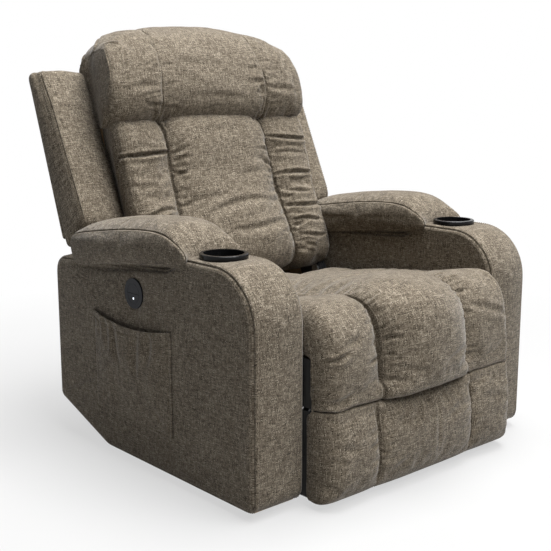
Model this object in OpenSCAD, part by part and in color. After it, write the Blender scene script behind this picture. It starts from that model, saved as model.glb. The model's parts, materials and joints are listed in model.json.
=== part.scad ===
// Upholstered power recliner: the seat tilts, the back reclines and the leg rest folds out.
// Side outlines are drawn as [d, h]: d runs back from the front of the arms, h up from their bottom edge.
// Positive turns lift the front of a piece. The chair faces -Y, and its own right arm is on the -X side.

/* [Chair] */
// Half of the clear width between the two arms
seat_half = 305; // [285:1:370]
// Height of the glides under the arms
glide_h = 15; // [10:1:30]
// Radius of a glide
glide_r = 24; // [18:1:30]
// Distance from the front of the arms to the origin
origin_d = 400; // [300:1:500]

/* [Arms] */
// Width of one arm
arm_w = 135; // [120:1:165]
// Length of an arm
arm_len = 750; // [740:1:800]
// Height of the flat deck at the arm's front
arm_h = 490; // [485:1:520]
// Radius of the arm's rounded front top
arm_r = 120; // [90:1:130]
// Thickness of the padded wall of an arm
arm_wall = 16; // [14:1:20]
// Rear end of the flat deck
deck_end = 232; // [232:1:238]
// Front end of the ledge under the arm pad
ledge_d = 280; // [270:1:295]
// Height of the ledge at its front end
ledge_front_h = 458; // [450:1:470]
// Height of the ledge at its rear end
ledge_back_h = 440; // [430:1:448]
// Radius of the arm's rear top corner
arm_back_r = 40; // [30:1:60]
// Radius of the arm's front bottom corner
arm_toe_r = 25; // [20:1:40]
// Height of the cut-away under the arm's rear end
kick_h = 75; // [40:1:100]
// Length of the cut-away under the arm's rear end
kick_len = 210; // [150:1:230]
// Thickness of the boards in the arm frames
board_t = 18; // [15:0.2:22]

/* [Arm pads] */
// Front end of an arm pad
pad_front = 234; // [234:1:246]
// Rear end of an arm pad
pad_back = 640; // [600:1:645]
// Width of an arm pad
pad_w = 149; // [130:1:180]
// Height of the pad's crest
pad_crest = 566; // [540:1:580]
// Height of the pad's top at its rear end
pad_back_h = 522; // [500:1:540]

/* [Cup holders] */
// Centre of the cup holder behind the arm's front
cup_d = 172; // [164:1:172]
// Radius of the cup holder's bore
cup_r = 42.5; // [35:0.5:51]
// Wall of the cup holder
cup_wall = 3.5; // [3:0.5:4]
// How far the rim reaches beyond the wall
cup_rim = 5; // [3:0.5:8]
// Height of the rim above the deck
cup_rise = 12; // [8:1:20]
// Depth of the bore
cup_depth = 72; // [50:1:90]
// Clearance of the cup holder in its hole
cup_fit = 0.4; // [0.2:0.1:0.8]

/* [Switch] */
// Centre of the switch behind the arm's front
switch_d = 402; // [380:1:440]
// Height of the switch's centre
switch_h = 389; // [370:1:395]
// Radius of the switch's ring
switch_r = 34; // [29:1:37]
// Radius of the pair of half-round buttons
button_r = 22; // [17:0.5:22]
// Gap round each button
button_gap = 0.4; // [0.2:0.1:0.8]
// Travel of a button
button_travel = 2; // [1:0.5:3]
// Height of the buttons and ring above the arm
switch_rise = 4; // [3:0.5:5]
// Depth of the switch body inside the arm
switch_depth = 30; // [24:1:40]
// Radius of the indicator's light pipe
light_r = 2.3; // [1.5:0.1:3]

/* [Side pocket] */
// Front edge of the pocket
pocket_front = 262; // [240:1:290]
// Rear edge of the pocket
pocket_back = 567; // [500:1:600]
// Bottom edge of the pocket
pocket_low = 90; // [80:1:120]
// Top edge of the pocket at its ends
pocket_high = 328; // [280:1:340]
// Sag of the pocket's hem at its middle
pocket_sag = 16; // [5:1:30]
// Thickness of the pocket's cloth
pocket_cloth = 3; // [2:0.5:4]
// Depth of the bag in the arm's padding
pocket_recess = 6; // [4:1:8]
// Gap between the pocket's cloth and the arm
pocket_gap = 2; // [1:0.5:3]
// Width of the pocket's sewn edge
pocket_seam = 10; // [6:1:14]

/* [Base] */
// Thickness of the base side plates
base_t = 6; // [4:1:7]
// Bottom edge of the base rails
rail_low = 20; // [15:1:25]
// Top edge of the base rails
rail_high = 60; // [50:1:64]
// Radius of the base cross tubes
base_tube_r = 12; // [10:1:15]
// Rear end of the base rails
rail_end = 722; // [715:1:730]
// Thickness of the rear panel
rear_panel_t = 18; // [12:1:20]
// Height of the rear panel's top edge
rear_panel_h = 228; // [200:1:235]
// Gap between the rear panel and an arm
panel_gap = 1; // [0.5:0.5:3]
// Radius of the power inlet's bore
inlet_r = 4; // [3:0.25:5]
// Length of the power inlet's bore
inlet_len = 12; // [10:1:16]
// Radius of the bolts through the arms
bolt_r = 4; // [3:0.5:5]

/* [Seat tilt and recline] */
// Seat pivot behind the arm's front
tilt_d = 400; // [395:1:405]
// Height of the seat pivot
tilt_h = 120; // [117:1:123]
// Largest tilt of the seat in degrees
tilt_angle = 8; // [6:0.5:8]
// Back hinge behind the arm's front
hinge_d = 575; // [572:1:578]
// Height of the back hinge
hinge_h = 330; // [327:1:333]
// Largest recline of the back on the seat in degrees
recline_angle = 26; // [20:1:27]
// Back link's upper pivot behind the arm's front
tail_d = 620; // [617:1:623]
// Height of the back link's upper pivot
tail_h = 420; // [415:1:425]
// Radius of the hinge bolts
hinge_r = 8; // [6:0.5:9]
// Radial play of the back link on its upper bolt
tail_play = 0.4; // [0.3:0.05:0.6]

/* [Leg rest linkage] */
// Main swing pivot behind the arm's front
swing_d = 100; // [98:1:104]
// Height of the main swing pivot
swing_h = 188; // [186:1:190]
// Length of the lower link between its pivots
lower_len = 162; // [158:1:163]
// Foot bracket pivot behind the arm's front
foot_d = 8; // [6:1:10]
// Height of the foot bracket pivot
foot_h = 170; // [168:1:172]
// Swing of the lower link in degrees
swing_angle = 80; // [70:1:82]
// Slope of the upper link when the leg rest is out, in degrees
upper_slope = 18; // [14:1:20]
// Turn of the leg rest in degrees
foot_angle = 88; // [80:1:90]
// Distance of the control link's ear from the knee
ear_len = 30; // [28:1:34]
// Rise of the foot control pivot above the foot pivot
foot_rise = 30; // [28:1:32]
// Set-back of the foot control pivot behind the foot pivot
foot_back = 10; // [8:1:12]
// Thickness of a link
link_t = 5; // [4:0.5:6]
// Gap between neighbouring links
link_gap = 1; // [0.8:0.1:1.5]
// Width of a link bar
link_w = 20; // [16:1:22]
// Radius of the link pins
pin_r = 5; // [4:0.5:5.5]
// Radial clearance of a pin in its bore
run_fit = 0.05; // [0.03:0.01:0.1]
// Radial play of a pin where the linkage closes on itself
loop_play = 1.9; // [1.8:0.1:2.4]

/* [Drive] */
// Radius of the drive tube
drive_r = 12; // [10:1:14]
// Radius of the crank
crank_r = 45; // [42:1:46]
// Side play of the crank pin in the yoke's slot
yoke_play = 1.3; // [1.2:0.1:2]
// Radius of the drive rod
rod_r = 11; // [9:1:12]
// Wall of the drive's guide tube
guide_wall = 6; // [4:1:8]
// Seat cross tube behind the arm's front
seat_tube_d = 470; // [465:1:475]
// Height of the seat cross tube
seat_tube_h = 160; // [158:1:165]
// Radius of the seat cross tube
seat_tube_r = 14; // [12:1:15]

/* [Seat] */
// Thickness of the seat side plates
seat_plate_t = 5; // [4:0.5:5.5]
// Height of the seat frame's top at the front
deck_h = 297; // [294:1:299]
// Downward slope of the seat frame to the rear in degrees
deck_slope = 5.8; // [5:0.1:6.5]
// Height of the seat frame's rails
rail_h = 54; // [45:1:56]
// Thickness of the seat frame's rails
rail_t = 25; // [20:1:30]
// Front face of the seat frame
deck_front = -12; // [-14:1:-10]
// Rear face of the seat frame
deck_back = 530; // [520:1:535]
// Width of a webbing strap
strap_w = 60; // [40:1:70]
// Thickness of a webbing strap
strap_t = 3; // [2:0.5:3]
// Gap between the seat cushion and an arm
cushion_gap = 16; // [14:1:25]
// Half width of the cushions' middle panels
panel_half = 150; // [130:1:170]
// How far the seat's nose reaches in front of the arms
nose_reach = 104; // [95:1:110]
// Height of the nose's lower edge
nose_low = 205; // [204:1:215]
// Height of the seat's crest
seat_crest = 430; // [420:1:440]
// Height of the seat's top at its rear end
seat_rear_h = 346; // [335:1:350]
// Set-back of the side bolsters from the middle panel's nose
bolster_back = 36; // [10:1:40]
// Depth of the sewn channels
groove = 12; // [5:1:20]
// Air gap round the soft pieces
air = 0.3; // [0.2:0.1:0.5]

/* [Leg rest] */
// Gap between the leg rest's pad and an arm
leg_gap = 10; // [8:1:20]
// Bottom edge of the leg rest's pad
leg_low = -4; // [-6:1:2]
// Top edge of the leg rest's pad
leg_high = 194; // [185:1:195]
// Front of the leg rest's pad before the arms
leg_reach = 80; // [74:1:108]
// Rear face of the leg rest's board
leg_board_d = -4; // [-6:1:-2]
// Thickness of the leg rest's board
leg_board_t = 14; // [12:1:18]

/* [Back] */
// Lean of the back in degrees
lean = 19.5; // [18:0.5:20]
// Foot of the back's rear face behind the arm's front
back_d = 733; // [731:1:740]
// Height of the foot of the back's rear face
back_h = 441; // [439:1:445]
// How far a wing reaches out over its arm
wing_reach = 108; // [95:1:130]
// Top of the wings along the back
wing_top = 430; // [400:1:440]
// Depth of a wing at its top outer edge
wing_depth = 66; // [60:1:80]
// Lean of the wing's front face to the rear face, in degrees
wing_lean = 7; // [5:0.5:8]
// Turn of the wing's front face towards the sitter, in degrees
wing_turn = 14.6; // [8:0.2:16]
// Thickness of the padded rear shell
shell_t = 14; // [10:1:16]
// Top of the rear shell along the back
shell_top = 512; // [490:1:520]
// Bottom of the rear shell along the back
shell_low = -195; // [-200:1:-150]
// Depth of the back frame's timber
post_t = 36; // [30:1:38]
// Width of the back frame's posts
post_w = 42; // [36:1:50]
// Top of the back frame along the back
frame_top = 456; // [440:1:470]
// Bottom of the back frame along the back
frame_low = -190; // [-195:1:-170]
// Gap between the back cushion and a back bracket
back_gap = 3; // [2:1:15]
// Bottom of the back cushion along the back
back_low = -138; // [-142:1:-120]
// Line between the back cushion and the headrest along the back
head_low = 262; // [240:1:280]
// Top of the headrest along the back
head_top = 551; // [530:1:662]
// Drop of the headrest's arched top at its corners
head_arch = 42; // [0:1:50]
// Depth of the back cushion's front before the rear face
back_front = 166; // [150:1:175]
// Extra depth of the back cushion at the lumbar
lumbar = 22; // [0:1:25]
// Depth of the headrest's front before the rear face
head_front = 200; // [180:1:205]

/* [Hidden] */
$fn = 64;

LEFT = 1;
RIGHT = -1;
eps = 1;
foot_pin_r = pin_r + 1;

// Points of the linkage at rest, and their turns over the full travel
tilt = [tilt_d, tilt_h];
hinge = [hinge_d, hinge_h];
tail = [tail_d, tail_h];
swing = [swing_d, swing_h];
knee = [swing_d, swing_h - lower_len];
foot = [foot_d, foot_h];
upper_rest = atan2(foot[1] - knee[1], knee[0] - foot[0]);
upper_turn = upper_slope - upper_rest;
ear = knee - ear_len * [sin(upper_rest), cos(upper_rest)];
foot_pin = foot + [foot_back, foot_rise];

// Point p turned about c, and about the origin
function turned(p, a) = [p[0] * cos(a) + p[1] * sin(a), p[1] * cos(a) - p[0] * sin(a)];
function turned_about(p, c, a) = c + turned(p - c, a);

// Places of the moving points at a share t of the travel
function knee_at(t) = turned_about(knee, swing, swing_angle * t);
function foot_at(t) = knee_at(t) + turned(foot - knee, upper_turn * t);
function ear_at(t) = knee_at(t) + turned(ear - knee, upper_turn * t);
function foot_pin_at(t) = foot_at(t) + turned(foot_pin - foot, foot_angle * t);
function foot_pin_on_lower(t) = turned_about(foot_pin_at(t), swing, -swing_angle * t);
function tail_at(t) = turned_about(turned_about(tail, hinge, recline_angle * t), tilt, tilt_angle * t);

// Centre of the circle through three points: the fixed pivot of a link whose end takes those places
function centre_of(a, b, c) =
  let (u = b - a, v = c - a, k = 2 * (u[0] * v[1] - u[1] * v[0]))
  a + [v[1] * (u * u) - u[1] * (v * v), u[0] * (v * v) - v[0] * (u * u)] / k;
ear_pivot = centre_of(ear_at(0), ear_at(0.5), ear_at(1));
foot_pivot = centre_of(foot_pin_on_lower(0), foot_pin_on_lower(0.5), foot_pin_on_lower(1));
tail_pivot = centre_of(tail_at(0), tail_at(0.5), tail_at(1));

// Planes of the linkage, outwards from the seat's middle
base_x = seat_half - base_t;
back_link_x = base_x - 2 * link_gap - link_t;
seat_plate_x = back_link_x - 3 * link_gap - seat_plate_t;
function link_x(k) = seat_plate_x - k * (link_t + link_gap);
control_x = seat_plate_x + seat_plate_t + link_gap;
post_x = link_x(1);
head_t = 2;

// Widths that follow the clear width between the arms
cushion_half = seat_half - cushion_gap;
leg_half = seat_half - leg_gap;
wing_half = seat_half + wing_reach;
wing_in = post_x + 2;
back_half = post_x - back_gap;
strap_pitch = (seat_plate_x - rail_t) / 2;

// Crank and rod: the crank stands upright at half travel, and the yoke rides on its pin
crank_tip = swing + crank_r * [sin(swing_angle / 2), -cos(swing_angle / 2)];
rod_h = swing_h - crank_r * (1 + cos(swing_angle / 2)) / 2;
yoke_half = crank_r * (1 - cos(swing_angle / 2)) / 2 + pin_r + yoke_play;
yoke_x = 4;
crank_x = yoke_x + link_gap;
crank_t = 6;

// Arm and cup places
arm_mid = seat_half + arm_w / 2;
ledge_slope = (ledge_back_h - ledge_front_h) / (arm_len - arm_back_r - ledge_d);
function ledge_at(d) = ledge_front_h + ledge_slope * (d - ledge_d);
function ramp_at(d) = arm_h + (ledge_front_h - arm_h) * (d - deck_end) / (ledge_d - deck_end);
cup_out = cup_r + cup_wall;
bolt_places = [[110, 40], [500, 40]];
glide_places = [80, 490];
function deck_at(d) = deck_h - tan(deck_slope) * (d - deck_front);

// Side view to space, and the back's own leaning frame
function sx(s, x, t) = s > 0 ? x : -x - t;
module side(x0, t) {
  translate([x0, -origin_d, glide_h]) rotate([90, 0, 90]) linear_extrude(t) children();
}
module pin(s, p, x0, x1, r) {
  translate([sx(s, x0, x1 - x0), p[0] - origin_d, p[1] + glide_h]) rotate([0, 90, 0])
    cylinder(h = x1 - x0, r = r);
}
module in_back() {
  translate([0, back_d - origin_d, back_h + glide_h]) rotate([-lean, 0, 0]) children();
}
// Outline [x, b] seen from behind the back, between two depths before its rear face
module back_board(near, far) {
  translate([0, -near, 0]) rotate([90, 0, 0]) linear_extrude(far - near) children();
}
function in_back_of(p) =
  let (q = p - [back_d, back_h])
  [q[0] * cos(lean) - q[1] * sin(lean), q[0] * sin(lean) + q[1] * cos(lean)];

// Flat link bar, a little narrower than its round eyes
module bar(p, q, w) {
  waist = 0.8 * w;
  translate(p) circle(d = w);
  translate(q) circle(d = w);
  translate(p) rotate(atan2(q[1] - p[1], q[0] - p[0])) translate([0, -waist / 2])
    square([norm(q - p), waist]);
}
module box2(lo, hi) {
  translate(lo) square(hi - lo);
}
module hole(p, r) {
  translate(p) circle(r);
}

// Smooth curve through points, k steps to a point, and the inward shift of a closed outline
function smooth(a, b, c, d, t) =
  0.5 * (2 * b + (c - a) * t + (2 * a - 5 * b + 4 * c - d) * t * t + (3 * b - a - 3 * c + d) * t * t * t);
function curve(p, k) =
  let (n = len(p) - 1)
  [for (i = [0 : n - 1], j = [0 : k - 1])
    smooth(p[max(i - 1, 0)], p[i], p[i + 1], p[min(i + 2, n)], j / k), p[n]];
function unit(v) = v / norm(v);
function drawn_in(p, w) =
  let (n = len(p))
  [for (i = [0 : n - 1])
    let (g = unit(p[(i + 1) % n] - p[(i + n - 1) % n]))
    p[i] + w[i] * [-g[1], g[0]]];

// Closed solid through outlines at stations along X, with a fan at each end
module loft(stations, outlines) {
  n = len(outlines[0]);
  m = len(stations);
  rims = [for (j = [0 : m - 1], p = outlines[j]) [stations[j], p[0], p[1]]];
  function middle(q) = [for (k = [0, 1]) [for (p = q) p[k]] * [for (p = q) 1 / n]];
  ends = [for (j = [0, m - 1]) let (c = middle(outlines[j])) [stations[j], c[0], c[1]]];
  sides = [for (j = [0 : m - 2], i = [0 : n - 1])
    let (a = j * n + i, b = j * n + (i + 1) % n)
    each [[a, a + n, b], [b, a + n, b + n]]];
  low = [for (i = [0 : n - 1]) [m * n, i, (i + 1) % n]];
  high = [for (i = [0 : n - 1]) [m * n + 1, (m - 1) * n + (i + 1) % n, (m - 1) * n + i]];
  polyhedron(concat(rims, ends), concat(sides, low, high));
}
// Stations across a padded piece, close together at the sewn lines and at the rounded ends
function stations(half, seams, r) =
  let (
    flat = [for (k = [-3 : 3]) k * half / 4],
    sewn = [for (s = seams, k = [-1, 0, 1]) s + 14 * k],
    ends = [for (a = [0, 35, 65, 90]) half - r + r * sin(a)],
    raw = concat(flat, sewn, ends, -ends)
  )
  spaced(sorted(raw), 8, half - r - 1);
function sorted(v) =
  len(v) < 2 ? v :
  let (m = v[floor(len(v) / 2)])
  concat(
    sorted([for (a = v) if (a < m) a]),
    [for (a = v) if (a == m) a],
    sorted([for (a = v) if (a > m) a])
  );
// Stations at least so far apart, apart from those beyond the start of the rounded ends
function spaced(v, least, ends) =
  [for (i = [0 : len(v) - 1])
    if (i == 0 || i == len(v) - 1 || v[i + 1] - v[i] > least || abs(v[i]) > ends) v[i]];
// Inward draw of the surface at x: the sewn lines and the rounded ends
function seam_draw(x, seams, depth) =
  depth * max([for (s = seams) exp(-pow((x - s) / 16, 2))]);
function end_draw(x, half, r) =
  let (u = max(0, (abs(x) - half + r) / r))
  r * (1 - sqrt(max(0, 1 - u * u)));

// Arms
module arm_outline(inset, drop) {
  low = -drop;
  polygon([
    [drop > 0 ? inset : arm_toe_r, low],
    [arm_len - kick_len - inset / 2, low],
    [arm_len - inset, kick_h + inset / 2],
    [arm_len - inset, ledge_back_h - arm_back_r],
    [arm_len - arm_back_r, ledge_back_h - inset],
    [ledge_d, ledge_front_h - inset],
    [deck_end, arm_h - inset],
    [arm_r, arm_h - inset],
    [arm_r, arm_h - arm_r],
    [inset, arm_h - arm_r],
    [inset, drop > 0 ? low : arm_toe_r]
  ]);
  translate([arm_r, arm_h - arm_r]) circle(arm_r - inset);
  translate([arm_len - arm_back_r, ledge_back_h - arm_back_r]) circle(arm_back_r - inset);
  if (drop == 0)
    translate([arm_toe_r, arm_toe_r]) circle(arm_toe_r);
}
module cup_place(s) {
  translate([s * arm_mid, cup_d - origin_d, arm_h + glide_h]) children();
}
module cup_hole(s) {
  cup_place(s) translate([0, 0, -cup_depth - cup_wall]) cylinder(h = 2 * cup_depth, r = cup_out + cup_fit);
}
module cup_pocket(s) {
  r = cup_out + cup_fit;
  cup_place(s) translate([-r, -r, -cup_depth - cup_wall]) cube([2 * r, 2 * r, 2 * cup_depth]);
}
module bolt_holes(s) {
  for (p = bolt_places)
    pin(s, p, base_x - eps, seat_half + arm_wall + board_t + eps, bolt_r + run_fit);
}
module switch_hole() {
  pin(RIGHT, switch_at, switch_face - switch_depth, switch_face + eps, button_r + switch_wall + air);
}
module pocket_mouth() {
  box2([pocket_front + pocket_seam, pocket_low + pocket_seam], [pocket_back - pocket_seam, pocket_high]);
}
module pocket_outline() {
  mid = (pocket_front + pocket_back) / 2;
  half = (pocket_back - pocket_front) / 2;
  hem_r = (half * half + pocket_sag * pocket_sag) / (2 * pocket_sag);
  difference() {
    box2([pocket_front, pocket_low], [pocket_back, pocket_high]);
    translate([mid, pocket_high - pocket_sag + hem_r]) circle(hem_r, $fn = 180);
  }
}
module arm_cover(s) {
  hollow = arm_w - 2 * arm_wall;
  color("#6b5a49") difference() {
    side(sx(s, seat_half, arm_w), arm_w) arm_outline(0, 0);
    side(sx(s, seat_half + arm_wall, hollow), hollow) arm_outline(arm_wall, eps);
    cup_hole(s);
    bolt_holes(s);
    if (s == RIGHT) {
      switch_hole();
      side(sx(s, seat_half + arm_w - pocket_recess, pocket_recess + eps), pocket_recess + eps)
        pocket_mouth();
    }
  }
}
module left_arm_cover() arm_cover(LEFT);
module right_arm_cover() arm_cover(RIGHT);

module arm_frame(s) {
  x0 = seat_half + arm_wall;
  hollow = arm_w - 2 * arm_wall;
  window_low = 75;
  window_top = ledge_back_h - 80;
  front_post = 70;
  mid_post = [330, 390];
  rear_post = 60;
  rear_board_h = ledge_back_h - arm_back_r;
  color("#c9a77a") difference() {
    union() {
      for (x = [x0, x0 + hollow - board_t])
        side(sx(s, x, board_t), board_t) difference() {
          intersection() {
            arm_outline(arm_wall, eps);
            box2([0, 0], [arm_len, arm_h]);
          }
          box2([front_post, window_low], [mid_post[0], window_top]);
          box2([mid_post[1], window_low], [arm_len - rear_post, window_top]);
        }
      side(sx(s, x0, hollow), hollow) {
        box2([arm_wall, 0], [arm_len - kick_len - 2 * board_t, board_t]);
        box2([arm_wall, board_t], [arm_wall + board_t, arm_h - arm_r]);
        box2([arm_len - arm_wall - board_t, kick_h + arm_wall], [arm_len - arm_wall, rear_board_h]);
      }
    }
    cup_pocket(s);
    bolt_holes(s);
    if (s == RIGHT)
      switch_hole();
  }
}
module left_arm_frame() arm_frame(LEFT);
module right_arm_frame() arm_frame(RIGHT);

// Arm pad: a boxed pillow on the ledge, its top drawn in at the edges
module arm_pad(s) {
  half = pad_w / 2;
  r = 34;
  rest = [
    [pad_front + 6, ramp_at(pad_front + 6) + air],
    [ledge_d, ledge_front_h + air],
    [(ledge_d + pad_back) / 2, ledge_at((ledge_d + pad_back) / 2) + air],
    [pad_back - 8, ledge_at(pad_back - 8) + air]
  ];
  over = curve([
    [pad_back - 8, ledge_at(pad_back - 8) + air],
    [pad_back, ledge_at(pad_back) + 30],
    [pad_back - 3, pad_back_h - 22],
    [pad_back - 30, pad_back_h + 4],
    [pad_back - 160, pad_crest - 14],
    [pad_front + 120, pad_crest],
    [pad_front + 40, pad_crest - 8],
    [pad_front + 6, pad_crest - 34],
    [pad_front, arm_h + 16],
    [pad_front + 6, rest[0][1]]
  ], 3);
  outline = concat([for (i = [0 : 2]) rest[i]], [for (i = [0 : len(over) - 2]) over[i]]);
  weight = [for (p = outline) min(1, max(0, (p[1] - ledge_at(p[0]) - 2) / 70))];
  ends = [for (a = [90, 62, 35, 0]) half - r + r * sin(a)];
  xs = concat(-ends, [for (i = [len(ends) - 1 : -1 : 0]) ends[i]]);
  color("#6f5e4d") translate([s * arm_mid, -origin_d, glide_h])
    loft(xs, [for (x = xs) drawn_in(outline, weight * end_draw(x, half, r))]);
}
module left_arm_pad() arm_pad(LEFT);
module right_arm_pad() arm_pad(RIGHT);

// Cup holder: a turned cup with a flat collar on the deck
module cup_holder(s) {
  low = cup_rise - cup_depth;
  color("#141414") cup_place(s) rotate_extrude() {
    difference() {
      union() {
        box2([0, low - cup_wall], [cup_out, cup_rise]);
        box2([0, 0], [cup_out + cup_rim, cup_rise - cup_rim / 2]);
        intersection() {
          translate([cup_out + cup_rim / 2, cup_rise - cup_rim / 2]) circle(cup_rim / 2);
          box2([0, 0], [cup_out + cup_rim, cup_rise]);
        }
        box2([0, 0], [cup_out + cup_rim / 2, cup_rise]);
      }
      box2([-eps, low], [cup_r, cup_rise + eps]);
    }
  }
}
module left_cup_holder() cup_holder(LEFT);
module right_cup_holder() cup_holder(RIGHT);

// Side pocket: a sagging cloth panel sewn to the arm along three edges
module side_pocket() {
  face = seat_half + arm_w;
  color("#66563f") {
    side(sx(RIGHT, face + pocket_gap, pocket_cloth), pocket_cloth) pocket_outline();
    side(sx(RIGHT, face, pocket_gap + pocket_cloth), pocket_gap + pocket_cloth) difference() {
      pocket_outline();
      pocket_mouth();
    }
  }
}

// Switch on the right arm
switch_at = [switch_d, switch_h];
switch_face = seat_half + arm_w;
switch_wall = 5;
button_foot = switch_face - 8;
light_at = switch_at - [0, button_r / 2];
light_foot = button_foot - 8;
module switch_ring() {
  color("#101010") difference() {
    pin(RIGHT, switch_at, switch_face, switch_face + switch_rise, switch_r);
    pin(RIGHT, switch_at, switch_face - eps, switch_face + switch_rise + eps, button_r + button_gap);
  }
}
module switch_body() {
  color("#1a1a1a") difference() {
    pin(RIGHT, switch_at, switch_face - switch_depth, switch_face, button_r + switch_wall);
    pin(RIGHT, switch_at, button_foot - button_travel - eps, switch_face + eps, button_r + button_gap);
    pin(RIGHT, light_at, light_foot, switch_face + eps, light_r);
  }
}
module indicator_light() {
  color("#bfe6ff") pin(RIGHT, light_at, light_foot, switch_face + switch_rise, light_r);
}
module half_button(up) {
  color("#1c1c1c") side(sx(RIGHT, button_foot, switch_face + switch_rise - button_foot),
    switch_face + switch_rise - button_foot)
    translate(switch_at) difference() {
      circle(button_r);
      translate([-2 * button_r, up > 0 ? -2 * button_r : -button_gap])
        square([4 * button_r, 2 * button_r + button_gap]);
      hole(light_at - switch_at, light_r + button_gap);
    }
}
module recline_button() half_button(1);
module return_button() half_button(-1);

// Base
module glides() {
  taper = 3;
  color("#1b1b1b") for (s = [LEFT, RIGHT], d = glide_places)
    translate([s * arm_mid, d - origin_d, 0]) cylinder(h = glide_h, r1 = glide_r - taper, r2 = glide_r);
}
module arm_bolts() {
  inner = base_x;
  outer = seat_half + arm_wall + board_t;
  color("#9a9da1") for (s = [LEFT, RIGHT], p = bolt_places) {
    pin(s, p, inner - 5, inner, 2 * bolt_r, $fn = 6);
    pin(s, p, inner - 1, outer + 8, bolt_r);
    pin(s, p, outer, outer + 6, 2 * bolt_r, $fn = 6);
  }
}
base_tube_places = [300, 640];
tube_wall = 2;
// Lower edge of the seat plates between the links and the pivot, and the stop that it rests on
plate_low = [[130, 160], [300, 170]];
// Width of a plate's neck against its round boss
neck = 0.8;
function plate_low_at(d) =
  let (run = plate_low[1] - plate_low[0])
  plate_low[0][1] + (d - plate_low[0][0]) * run[1] / run[0];
stop_d = 230;
stop_r = 8;
stop_at = [stop_d, plate_low_at(stop_d) - stop_r - air];
module base_plate(s) {
  rail_start = 40;
  tilt_boss = hinge_r + 16;
  tail_boss = hinge_r + 10;
  stop_boss = stop_r + 6;
  spread = 50;
  color("#3a3b3d") difference() {
    side(sx(s, base_x, base_t), base_t) {
      box2([rail_start, rail_low], [rail_end, rail_high]);
      polygon([
        [tail_pivot[0] + 1.6 * spread, rail_high - eps],
        [tail_pivot[0] + neck * tail_boss, tail_pivot[1]], [tail_pivot[0] - neck * tail_boss, tail_pivot[1]],
        [tilt_d - neck * tilt_boss, tilt_h], [tilt_d - spread, rail_high - eps]
      ]);
      hole(tilt, tilt_boss);
      hole(tail_pivot, tail_boss);
      polygon([
        [stop_d + 2 * stop_boss, rail_high - eps], [stop_d + neck * stop_boss, stop_at[1]],
        [stop_d - neck * stop_boss, stop_at[1]], [stop_d - 2 * stop_boss, rail_high - eps]
      ]);
      hole(stop_at, stop_boss);
    }
    pin(s, tilt, base_x - eps, seat_half + eps, hinge_r + run_fit);
    pin(s, tail_pivot, base_x - eps, seat_half + eps, hinge_r + run_fit);
    pin(s, stop_at, base_x - eps, seat_half + eps, pin_r + run_fit);
    bolt_holes(s);
  }
}
module left_base_plate() base_plate(LEFT);
module right_base_plate() base_plate(RIGHT);
module base_cross_tubes() {
  mid = (rail_low + rail_high) / 2;
  color("#3a3b3d") for (d = base_tube_places)
    difference() {
      pin(LEFT, [d, mid], -base_x, base_x, base_tube_r);
      pin(LEFT, [d, mid], -base_x - eps, base_x + eps, base_tube_r - tube_wall);
    }
}
module base_pivot_bolts() {
  color("#b4b6b8") for (s = [LEFT, RIGHT]) {
    pin(s, tilt, seat_plate_x - 2 * head_t, seat_plate_x - air, hinge_r + 4);
    pin(s, tilt, seat_plate_x - eps, seat_half, hinge_r);
    pin(s, tilt, seat_plate_x + seat_plate_t + air, base_x, hinge_r + 4);
    pin(s, tail_pivot, back_link_x - air - head_t, back_link_x - air, hinge_r + 3);
    pin(s, tail_pivot, back_link_x - eps, seat_half, hinge_r);
    pin(s, tail_pivot, back_link_x + link_t + air, base_x, hinge_r + 3);
  }
}
module tilt_stops() {
  color("#222222") for (s = [LEFT, RIGHT]) {
    pin(s, stop_at, seat_plate_x, base_x, stop_r);
    pin(s, stop_at, base_x - eps, seat_half, pin_r);
  }
}
inlet_at = [150, 70];
inlet_wall = 5;
inlet_flange = 3;
module rear_panel() {
  panel_half_w = seat_half - panel_gap;
  color("#4a4038") difference() {
    side(-panel_half_w, 2 * panel_half_w) box2([rail_end, rail_low], [rail_end + rear_panel_t, rear_panel_h]);
    inlet_place() translate([0, 0, -rear_panel_t - eps])
      cylinder(h = rear_panel_t + 2 * eps, r = inlet_r + inlet_wall + run_fit);
  }
}
module inlet_place() {
  translate([inlet_at[0], rail_end + rear_panel_t - origin_d, inlet_at[1] + glide_h])
    rotate([-90, 0, 0]) children();
}
module power_inlet() {
  color("#161616") inlet_place() difference() {
    union() {
      cylinder(h = inlet_flange, r = inlet_r + inlet_wall + inlet_flange);
      translate([0, 0, -rear_panel_t]) cylinder(h = rear_panel_t + eps, r = inlet_r + inlet_wall);
    }
    translate([0, 0, inlet_flange - inlet_len]) cylinder(h = inlet_len + eps, r = inlet_r);
  }
}

// Seat
module seat_plate(s) {
  front = 8;
  drop = 8;
  hinge_boss = hinge_r + 14;
  tilt_boss = hinge_r + 17;
  ear_boss = pin_r + 13;
  color("#45474a") difference() {
    side(sx(s, seat_plate_x, seat_plate_t), seat_plate_t) {
      polygon([
        [ear_pivot[0] - neck * ear_boss, ear_pivot[1]], [ear_pivot[0] + neck * ear_boss, ear_pivot[1] - 5],
        plate_low[0], plate_low[1],
        [tilt_d - neck * tilt_boss, tilt_h - 8], [tilt_d + neck * tilt_boss, tilt_h - 8],
        [hinge_d - 55, tilt_h + 30], [hinge_d, hinge_h - 105],
        [hinge_d + neck * hinge_boss, hinge_h], [hinge_d - neck * hinge_boss, hinge_h],
        [deck_back - 5, deck_at(deck_back - 5) - drop],
        [front, deck_at(front) - drop], [front, deck_at(front) - rail_h - 10]
      ]);
      hole(hinge, hinge_boss);
      hole(tilt, tilt_boss);
      hole(ear_pivot, ear_boss);
    }
    pin(s, hinge, seat_plate_x - eps, base_x, hinge_r + run_fit);
    pin(s, tilt, seat_plate_x - eps, base_x, hinge_r + run_fit);
    pin(s, swing, seat_plate_x - eps, base_x, pin_r + run_fit);
    pin(s, ear_pivot, seat_plate_x - eps, base_x, pin_r + run_fit);
  }
}
module left_seat_plate() seat_plate(LEFT);
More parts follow.
